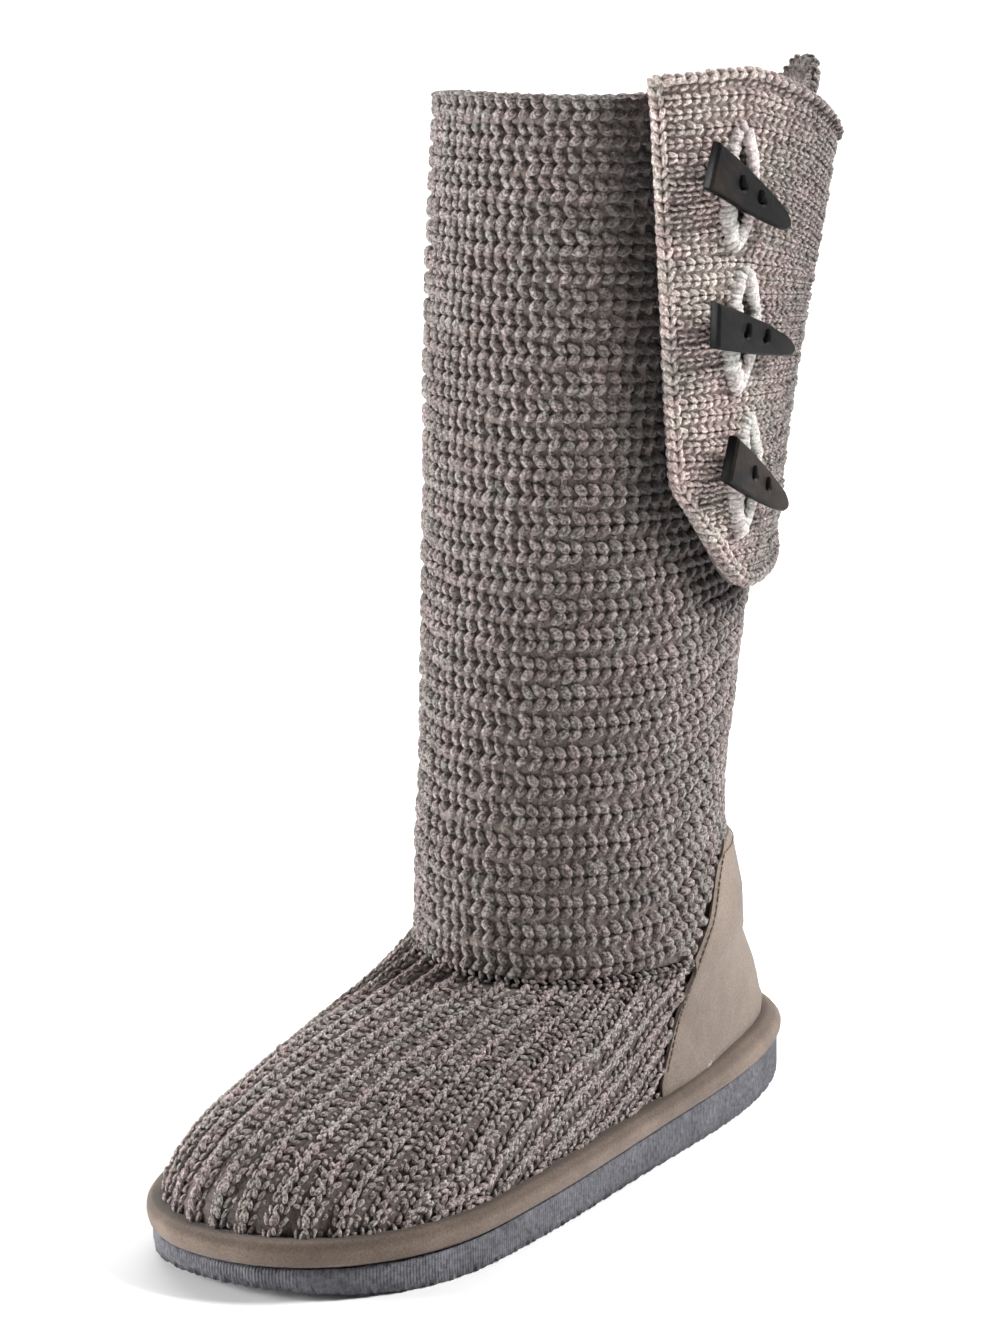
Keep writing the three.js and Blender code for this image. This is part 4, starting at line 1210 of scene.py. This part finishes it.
    def chain(self, run, knit, random):
        """Two rows of chain round the flap: one on its face, one on the side of its edge."""
        points, normals = arrays_of(run)
        points, normals = smooth_run(points, 4), unit_rows(smooth_run(normals, 6))
        face = row_places(points + normals * self.RAISE, normals, knit.edge_stitch, knit.edge_width)
        edging = np.cross(normals, unit_rows(np.gradient(points, axis=0)))
        edging *= -np.sign(edging[0, 1])
        under = points + edging * self.SIDE["out"] - normals * self.SIDE["down"]
        side = row_places(under, edging, knit.edge_stitch, self.SIDE["width"])
        places = shaken(joined_places([face, side]), random, *self.CHAIN_SHAKE)
        array_piece("flap_edge", knit_stitch(**self.CHAIN), places, random, "flap", "flap_knit")

    def rim(self, tree, tops, random):
        """The loops of the flap's top edge."""
        ends = [(angle, z) for angle, z in zip(self.ANGLES, tops) if np.isfinite(z)]
        hits = [round_hit(tree, angle, z - self.RIM["down"]) for angle, z in ends]
        points, normals = arrays_of([hit for hit in hits if hit is not None])
        points = smooth_run(points, 3) + np.array((0.0, 0.0, self.RIM["up"]))
        normals = unit_rows(smooth_run(normals, 4) + np.array((0.0, 0.0, self.RIM["tilt"])))
        places = row_places(points, normals, self.RIM["pitch"], self.RIM["width"])
        places = shaken(places, random, *self.RIM_SHAKE)
        array_piece("flap_top_edge", knit_stitch(**self.CHAIN), places, random, "flap", "flap_knit")


class BOOT_OT_buttonholes(bpy.types.Operator):
    """Bind each buttonhole with pale yarn"""

    bl_idname = "boot.buttonholes"
    bl_label = "Buttonholes"

    # The ring: half its width, its heights above and below its middle, and its probes
    HALF_WIDTH = 5.2 * MM
    HALF_HEIGHT = (18.5 * MM, 15.5 * MM)
    STEPS = 72
    # The wraps along it: their spacing, their width, and how far they stand out
    WRAP = 1.5 * MM
    BAND = 5.4 * MM
    LIFT = 0.7 * MM
    # How far the ring narrows towards its points
    POINTED = 0.35
    # One wrap, in units of its band's width: its thickness, slant, reach, height, depth and bend
    LOOP = {"thick": 0.95, "slant": 0.30, "reach": 0.5, "tall": 0.26, "low": 0.16, "bend": 0.20}
    # Random turn, size and sink of the wraps
    SHAKE = (0.15, 0.10, 0.15 * MM)

    def execute(self, context):
        random = np.random.default_rng(SEED + 3)
        nodes = [f"buttonhole_edge_{number}" for number in (1, 2, 3)]
        tree = tree_of("button_flap", *nodes)
        for number, node in enumerate(nodes, 1):
            points, normals = self.ring(tree, sum(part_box(node), Vector()) / 2)
            places = row_places(points + normals * self.LIFT, normals, self.WRAP, self.BAND, True)
            places = shaken(places, random, *self.SHAKE)
            name = f"buttonhole_binding_{number}"
            array_piece(name, self.wrap(), places, random, "pale", "pale_yarn", node)
        return {"FINISHED"}

    def wrap(self):
        """One wrap of yarn over the buttonhole's edge, across the way it runs."""
        bm, loop = yarn_leg(lambda u: (2 * u - 1, 0.0, 0.0), 1.0, 1.0), self.LOOP
        for vert in bm.verts:
            x, y, z = vert.co
            height = z * loop["tall"] - loop["low"] - loop["bend"] * x * x
            vert.co = Vector((y * loop["thick"] - x * loop["slant"], x * loop["reach"], height))
        bmesh.ops.recalc_face_normals(bm, faces=bm.faces)
        return shape_of(bm)

    def ring(self, tree, middle):
        """A pointed ring round the slit, laid on the flap."""
        angle, radius = angle_of(middle), from_axis(middle).length
        hits = []
        for turn in math.tau * np.arange(self.STEPS) / self.STEPS:
            rise = math.cos(turn)
            side = math.sin(turn) * (1.0 - self.POINTED * rise * rise) * self.HALF_WIDTH / radius
            hits.append(round_hit(tree, angle + side, middle.z + rise * self.HALF_HEIGHT[int(rise < 0.0)]))
        points, normals = arrays_of([hit for hit in hits if hit is not None])
        return smooth_ring(points, 3), unit_rows(smooth_ring(normals, 4))


class BOOT_OT_toggles(bpy.types.Operator):
    """Round the edges of the horn toggles, and sew them on"""

    bl_idname = "boot.toggles"
    bl_label = "Toggles"

    # Rounding of the edges, the angles below which faces join and past which edges round, and facing faces
    ROUND = 0.45 * MM
    FLAT = math.radians(3)
    SHARP = math.radians(28)
    FACING = 0.55
    # Width at the square end and at the tip, against the plain part
    NARROW = (0.93, 0.66)
    HALF_LENGTH = 18.0 * MM
    # Turn of each toggle's tip below level, and where its two holes lie along it
    TURNS = (33.0, 17.0, 31.0)
    HOLES = (-4.5 * MM, 4.5 * MM)
    # How far beside a hole the face is probed, and the size of a knot and its depth under the face
    BESIDE = 3.0 * MM
    KNOT = {"long": 4.2 * MM, "wide": 3.0 * MM, "deep": 0.5 * MM}

    def execute(self, context):
        random = np.random.default_rng(SEED + 5)
        knots = []
        for number, turn in enumerate(self.TURNS, 1):
            node = f"toggle_{number}"
            centre = sum(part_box(node), Vector()) / 2
            out = from_axis(centre).normalized()
            side = UP.cross(out)
            along = side * math.cos(math.radians(turn)) - UP * math.sin(math.radians(turn))
            self.horn(node, centre, out, along)
            knots += [self.knot(tree_of(node), centre, out, side, along, hole) for hole in self.HOLES]
        places = {key: np.array([knot[key][:] for knot in knots]) for key in knots[0]}
        # The knots are near-black: sewing thread, and painted shade that fills the toggles' holes
        array_piece("toggle_sewing", thread_stitch(0.5, 0.5, 0.5), places, random, "black", "horn")
        return {"FINISHED"}

    def horn(self, node, centre, out, along):
        """One toggle, drawn narrower towards its tip, with rounded edges and near-black sides of painted
        shade.
        """
        bm = merged_copy(node)
        across = out.cross(along)
        for vert in bm.verts:
            off = vert.co - centre
            tip = (off.dot(along) / self.HALF_LENGTH + 1.0) / 2.0
            narrow = self.NARROW[0] + (self.NARROW[1] - self.NARROW[0]) * tip
            vert.co -= across * off.dot(across) * (1.0 - narrow)
        bmesh.ops.dissolve_limit(bm, angle_limit=self.FLAT, verts=bm.verts, edges=bm.edges)
        edges = [edge for edge in bm.edges if edge.is_manifold and edge.calc_face_angle() > self.SHARP]
        settings = {"affect": "EDGES", "segments": 2, "profile": 0.5, "material": -1, "clamp_overlap": True}
        bmesh.ops.bevel(bm, geom=edges, offset=self.ROUND, **settings)
        bmesh.ops.triangulate(bm, faces=[face for face in bm.faces if len(face.verts) > 4])
        bm.normal_update()
        # Painted shade: faces that do not face out get the near-black copy of the horn
        for face in bm.faces:
            face.material_index = 0 if face.normal.dot(out) > self.FACING else 1
        name = f"horn_{node}"
        placed(name, mesh_from(bm, name, 35), "horn", "horn", "horn_painted_shade", node=node)

    def knot(self, tree, centre, out, side, along, hole):
        """The place of a knot of black thread in a hole, a little under the toggle's face; it also fills the
        hole as painted shade.
        """
        rim = cast(tree, centre + along * (hole + self.BESIDE), out)
        if rim is None:
            raise RuntimeError("a toggle's face was not found beside its hole")
        spot = centre + along * hole
        spot = spot + out * ((rim[0] - spot).dot(out) - self.KNOT["deep"])
        long, wide = self.KNOT["long"], self.KNOT["wide"]
        return {"middle": spot, "along": UP * long, "across": side * -wide, "out": out * wide}


class BOOT_OT_counter(bpy.types.Operator):
    """Lay the suede heel counter, and sew its front edges"""

    bl_idname = "boot.counter"
    bl_label = "Heel counter"

    # Columns and levels of its grid, and how often they are evened
    COLUMNS = 96
    LEVELS = 26
    EVENED = 4
    # Angles between which its two front edges are looked for, in degrees, and the probes for each
    SIDES = ((35, 175), (325, 185))
    PROBES = 150
    # A height inside it, and a level of its grid that shows the grid's spacing
    INSIDE = 0.05
    SPACING_LEVEL = 5
    # Its lowest level, and the gaps that the grid keeps from the CAD edges, at the sides in radians
    LOW = 0.0252
    TOP_GAP = 0.4 * MM
    SIDE_GAP = 0.004
    # How far the bottom is tucked down and in, the wall, and how far the first rows of the edges roll in
    TUCK = (4 * MM, 0.4 * MM)
    WALL = 1.3 * MM
    EDGE_ROLL = (1.0 * MM, 0.25 * MM)
    # The sewing: its distance from the edge, the length of a stitch and the width of the thread
    SEAM_INSET = 2.4 * MM
    SEAM_STITCH = 2.6 * MM
    THREAD = 0.6 * MM

    def execute(self, context):
        random = np.random.default_rng(SEED + 4)
        tree = tree_of("heel_counter")
        rows = []
        for z in np.linspace(self.LOW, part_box("heel_counter")[1].z - self.TOP_GAP, self.LEVELS):
            outer, inner = (first_angle(tree, z, *side, self.PROBES) for side in self.SIDES)
            angles = np.linspace(outer + self.SIDE_GAP, inner - self.SIDE_GAP, self.COLUMNS)
            rows.append(arrays_of([round_hit(tree, angle, z) for angle in angles]))
        grid, normals = (np.array(part) for part in zip(*rows))
        for _ in range(self.EVENED):
            grid[1:-1, 1:-1] = (2 * grid[1:-1, 1:-1] + grid[1:-1, :-2] + grid[1:-1, 2:]) / 4
        grid += np.array([[heel_draw(spot)[:] for spot in row] for row in grid])
        normals = unit_rows(np.array([smooth_run(row, 6) for row in normals]))
        self.panel(grid, normals)
        self.seam(grid, normals, random)
        return {"FINISHED"}

    def panel(self, grid, normals):
        """The suede shell: its free edges rolled in, its bottom tucked under the rand."""
        levels, columns = grid.shape[:2]
        roll = grid.copy()
        for inset, drop in enumerate(self.EDGE_ROLL):
            sides = (slice(None), inset), (slice(None), columns - 1 - inset)
            for edge in (*sides, (levels - 1 - inset, slice(None))):
                roll[edge] = grid[edge] - normals[edge] * drop
        down, inward = self.TUCK
        tucked = roll[:1] - np.array((0.0, 0.0, down)) - normals[:1] * inward
        roll = np.concatenate([tucked, roll])
        bm = bmesh.new()
        made = bmesh.ops.create_grid(bm, x_segments=columns - 1, y_segments=levels, size=1.0)["verts"]
        order = sorted(made, key=lambda v: (round(v.co.y, 5), round(v.co.x, 5)))
        for vert, place in zip(order, roll.reshape(-1, 3)):
            vert.co = place
        bmesh.ops.recalc_face_normals(bm, faces=bm.faces)
        bm.normal_update()
        middle = axis_at(self.INSIDE)
        if sum((face.calc_center_median() - middle).dot(face.normal) for face in bm.faces) < 0.0:
            bmesh.ops.reverse_faces(bm, faces=bm.faces)
        bmesh.ops.solidify(bm, geom=bm.faces[:], thickness=self.WALL)
        placed("suede_counter", mesh_from(bm, "suede_counter", 60), "suede", "suede", node="heel_counter")

    def seam(self, grid, normals, random):
        """Sewing along the two front edges and over the top."""
        columns = grid.shape[1]
        steps = lambda run: max(1, round(self.SEAM_INSET / np.linalg.norm(run[1] - run[0])))
        side, top = steps(grid[self.SPACING_LEVEL]), steps(grid[self.SPACING_LEVEL:, columns // 2])

        def round_edges(table):
            up, down = table[1:-top, side], table[1:-top, columns - 1 - side][::-1]
            return np.concatenate([up, table[-1 - top, side:columns - side], down])

        points = smooth_run(round_edges(grid), 2)
        places = row_places(points, round_edges(normals), self.SEAM_STITCH, self.THREAD)
        array_piece("counter_sewing", thread_stitch(), places, random, "thread", "suede")


class BOOT_OT_rand(bpy.types.Operator):
    """Bind the foot with the rounded suede rand"""

    bl_idname = "boot.rand"
    bl_label = "Rand"

    # Points round the rand, its height, how far its bottom and top turn in, and the drop of its top
    ROUND = 240
    HEIGHT = 8.5 * MM
    INSET = 3.2 * MM
    TOP_INSET = 4.8 * MM
    TOP_DROP = 0.3 * MM
    # Heights of the rings, and how far each is drawn in at the heel, where the rand slopes like a ledge
    UPS = (0.6 * MM, 1.6 * MM, 2.8 * MM, 4.0 * MM, 5.2 * MM, 6.4 * MM, 7.4 * MM, 8.1 * MM)
    LEDGE = (-0.5 * MM, -0.5 * MM, 0.1 * MM, 0.9 * MM, 1.8 * MM, 2.7 * MM, 3.4 * MM, 3.9 * MM)
    # Places along the boot where the ledge begins and is full
    HEEL = (0.020, 0.090)

    def execute(self, context):
        tree = tree_of("rand")
        level, slope = rand_plane()
        rings = []
        for up, drawn in zip(self.UPS, self.LEDGE):
            ring = plane_ring(tree, self.ROUND, level + up, slope)
            rings.append(ring + inwards(ring) * (drawn * smoothstep(*self.HEEL, ring[:, 1]))[:, None])
        towards = inwards(rings[0])
        top = rings[-1] + towards * self.TOP_INSET - np.array((0.0, 0.0, self.TOP_DROP))
        bm = bmesh.new()
        edges = loft(bm, [rings[0] + towards * self.INSET, *rings, top])
        bmesh.ops.bridge_loops(bm, edges=edges[0] + edges[-1])
        bmesh.ops.recalc_face_normals(bm, faces=bm.faces)
        mesh = mesh_from(bm, "suede_rand", 70)
        wrap_uv(mesh, self.ROUND)
        placed("suede_rand", mesh, "rand_suede", "rand", node="rand")
        return {"FINISHED"}


class BOOT_OT_sole(bpy.types.Operator):
    """Mould the foam outsole with its serrated edge and grooved tread, and lay the insole"""

    bl_idname = "boot.sole"
    bl_label = "Sole and insole"

    # Points round the sole, and the height at which its outline is probed
    ROUND = 480
    PROBE = 6.5 * MM
    # Spacing and depth of the teeth along its lower edge
    TOOTH_PITCH = 3.2 * MM
    TOOTH_DEPTH = 1.6 * MM
    # Where each lift of the lower edge begins and ends along the boot, and its height there
    SPRINGS = ((-0.096, -0.150, 4.5 * MM), (0.118, 0.150, 2.6 * MM))
    # The underside: how far inside the edge it begins, half its middle line, its rings and the innermost
    UNDER = 5 * MM
    SPINE = 0.085
    TREAD_RINGS = 32
    INNERMOST = 0.995
    # Grooves of the tread: the first one, their spacing, the rake of their arms, depth, and half widths
    GROOVE = {"first": -0.105, "pitch": 0.0159, "slope": 0.087, "depth": 2.2 * MM}
    GROOVE_HALF = (1.2 * MM, 2.4 * MM)

    def execute(self, context):
        outline = plane_ring(tree_of("outsole"), self.ROUND, self.PROBE, 0.0)
        level, slope = rand_plane()
        bm = bmesh.new()
        edges = loft(bm, self.rings(outline, level - 0.3 * MM + slope * outline[:, 1]))
        bmesh.ops.holes_fill(bm, edges=edges[0] + edges[-1], sides=0)
        bmesh.ops.recalc_face_normals(bm, faces=bm.faces)
        mesh = mesh_from(bm, "foam_sole", 50)
        wrap_uv(mesh, self.ROUND)
        placed("foam_sole", mesh, "foam", "foam", node="outsole")
        insole = mesh_from(merged_copy("insole"), "fleece_insole", 50)
        placed("fleece_insole", insole, "fleece", "fleece", node="insole")
        return {"FINISHED"}

    def rings(self, outline, top):
        """Rings of the sole from the middle of its underside, over its toothed edge, to its top."""
        lift = self.spring(outline[:, 1])
        along = np.concatenate([[0.0], np.cumsum(np.linalg.norm(np.diff(outline, axis=0), axis=1))])
        teeth = round(along[-1] / self.TOOTH_PITCH)
        tooth = self.TOOTH_DEPTH * (0.5 - 0.5 * np.cos(math.tau * teeth * along / along[-1]))
        # How far each ring is drawn in, and its height
        shape = (
            (self.UNDER, lift),
            (1.4 * MM + 0.5 * tooth, lift + 0.25 * MM * tooth / self.TOOTH_DEPTH),
            (0.35 * MM + 0.8 * tooth, lift + 0.55 * self.TOOTH_DEPTH + 0.3 * tooth),
            (0.1 * MM + 0.3 * tooth, lift + 2.4 * MM),
            (0.0, lift + 3.4 * MM),
            (0.0, (lift + 3.4 * MM + top) / 2),
            (0.0, top - 0.9 * MM),
            (0.7 * MM, top - 0.1 * MM),
            (9 * MM, top - 0.1 * MM),
        )
        rings = []
        for inset, height in shape:
            ring = outline + inwards(outline) * np.broadcast_to(inset, len(outline))[:, None]
            ring[:, 2] = height
            rings.append(ring)
        return [*self.underside(rings[0]), *rings[1:]]

    def underside(self, start):
        """Rings of the tread from the middle line out to a starting ring, with chevron grooves."""
        groove = self.GROOVE
        spine = np.array([(SOLE_MIDDLE.x, min(max(y, -self.SPINE), self.SPINE), 0.0) for y in start[:, 1]])
        rings = []
        for inward in np.linspace(self.INNERMOST, 0.0, self.TREAD_RINGS):
            ring = start * (1.0 - inward) + spine * inward
            along = ring[:, 1] - groove["first"] - groove["slope"] * np.abs(ring[:, 0])
            off = np.abs(along - np.round(along / groove["pitch"]) * groove["pitch"])
            deep = groove["depth"] * (1.0 - smoothstep(*self.GROOVE_HALF, off))
            ring[:, 2] = self.spring(ring[:, 1]) + deep
            rings.append(ring)
        return rings

    def spring(self, y):
        """Lift of the sole's lower edge at toe and heel."""
        share = lambda start, end: np.clip((y - start) / (end - start), 0.0, 1.0)
        return sum(height * share(start, end) ** 2 for start, end, height in self.SPRINGS)


class BOOT_OT_stage(bpy.types.Operator):
    """Set the floor, the lights and the camera"""

    bl_idname = "boot.stage"
    bl_label = "Stage"

    # Name, turn from the front by the outer side, height, distance, size, power and spread of each light
    LIGHTS = (
        ("key", 120.0, 1.30, 1.5, 0.6, 58.0, 180.0),
        ("rim", -57.0, 0.35, 1.7, 0.9, 65.0, 180.0),
    )
    # The lights that whiten the floor all round
    FLOOR_LIGHTS = (
        ("backdrop", 215.0, 3.00, 4.0, 6.0, 320.0, 180.0),
        ("far_floor", 215.0, 3.00, 10.0, 9.0, 300.0, 36.0),
        ("front_floor", 35.0, 3.00, 6.0, 10.0, 330.0, 36.0),
        ("outer_floor", 125.0, 3.00, 6.0, 10.0, 330.0, 36.0),
        ("inner_floor", 305.0, 3.00, 6.0, 10.0, 330.0, 36.0),
    )
    # Strength of the faint light from all round, which looks white where the floor ends
    WORLD = 0.07
    # What the camera looks at, the spot on the floor that it is measured from, and its sensor's width
    TARGET = Vector((-0.0083, 0.0054, 0.1555))
    CAMERA_BASE = Vector((-0.0083, 0.00017, 0.0))
    SENSOR = 36.0
    # What the key and the rim light shine at
    AIM = Vector((0.0, 0.02, 0.16))

    def execute(self, context):
        stage = context.scene.boot_stage
        self.floor(context.scene, stage)
        for light in self.LIGHTS:
            self.lamp(context.scene, *light, aim=self.AIM)
        for light in self.FLOOR_LIGHTS:
            self.lamp(context.scene, *light)
        self.world(context.scene)
        self.camera(context.scene, stage)
        context.scene.view_settings.view_transform = "Standard"
        return {"FINISHED"}

    def lamp(self, scene, name, turn, height, away, size, power, spread, aim=None):
        """A round soft light that shines at an aim, or else straight down."""
        light = bpy.data.lights.new(name, "AREA")
        light.shape, light.size, light.energy, light.spread = "DISK", size, power, math.radians(spread)
        lamp = bpy.data.objects.new(name, light)
        lamp.location = heading(math.radians(turn)) * away + UP * height
        aim = aim or lamp.location * LEVEL
        lamp.rotation_euler = (aim - lamp.location).to_track_quat("-Z", "Y").to_euler()
        scene.collection.objects.link(lamp)

    def world(self, scene):
        """Faint light from all round, which itself looks white."""
        scene.world = bpy.data.worlds.new("Studio")
        scene.world.use_nodes = True
        tree = scene.world.node_tree
        background = tree.nodes["Background"]
        background.inputs["Color"].default_value = WHITE
        strength = tree.nodes.new("ShaderNodeMath")
        strength.operation = "MAXIMUM"
        strength.inputs[1].default_value = self.WORLD
        seen = tree.nodes.new("ShaderNodeLightPath").outputs["Is Camera Ray"]
        tree.links.new(seen, strength.inputs[0])
        tree.links.new(strength.outputs["Value"], background.inputs["Strength"])

    def floor(self, scene, stage):
        bm = bmesh.new()
        bmesh.ops.create_grid(bm, x_segments=1, y_segments=1, size=stage.floor)
        mesh = mesh_from(bm, "floor")
        floor = bpy.data.objects.new("floor", mesh)
        scene.collection.objects.link(floor)
        mesh.materials.append(Finish("Studio floor", 0.9).done(scene.boot_colours.floor))
        floor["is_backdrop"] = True

    def camera(self, scene, stage):
        """The camera at the photo's angle, rolled as the photo is."""
        data = bpy.data.cameras.new("camera")
        data.lens, data.sensor_width = stage.lens, self.SENSOR
        camera = bpy.data.objects.new("camera", data)
        scene.collection.objects.link(camera)
        scene.camera = camera
        place = self.CAMERA_BASE + heading(stage.azimuth) * stage.distance + UP * stage.height
        back = (place - self.TARGET).normalized()
        right = UP.cross(back).normalized()
        up = back.cross(right)
        turned = right * math.cos(stage.roll) + up * math.sin(stage.roll)
        raised = up * math.cos(stage.roll) - right * math.sin(stage.roll)
        axes = Matrix((turned, raised, back)).transposed().to_4x4()
        camera.matrix_world = Matrix.Translation(place) @ axes


class BOOT_PT_panel(bpy.types.Panel):
    """Lists the steps that build the boot"""

    bl_idname = "BOOT_PT_panel"
    bl_label = "Knit sweater boot"
    bl_space_type = "VIEW_3D"
    bl_region_type = "UI"
    bl_category = "Boot"

    def draw(self, context):
        for step in STEPS:
            self.layout.operator(step.bl_idname)


STEPS = (
    BOOT_OT_walls,
    BOOT_OT_shaft_knit,
    BOOT_OT_foot_knit,
    BOOT_OT_flap_knit,
    BOOT_OT_buttonholes,
    BOOT_OT_toggles,
    BOOT_OT_counter,
    BOOT_OT_rand,
    BOOT_OT_sole,
    BOOT_OT_stage,
)
SETTINGS = {"boot_knit": KnitSizes, "boot_colours": BootColours, "boot_stage": StageSizes}


def register():
    for group in SETTINGS.values():
        bpy.utils.register_class(group)
    for name, group in SETTINGS.items():
        setattr(bpy.types.Scene, name, PointerProperty(type=group))
    for step in (*STEPS, BOOT_PT_panel):
        bpy.utils.register_class(step)


def unregister():
    for step in (*STEPS, BOOT_PT_panel):
        bpy.utils.unregister_class(step)
    for name, group in SETTINGS.items():
        delattr(bpy.types.Scene, name)
        bpy.utils.unregister_class(group)


def main():
    register()
    for step in STEPS:
        getattr(bpy.ops.boot, step.bl_idname.split(".")[1])()
    boxes = {"cad": CAD_BOX, "visual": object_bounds()}
    {name: [list(corner) for corner in box] for name, box in boxes.items()}


if __name__ == "__main__":
    main()
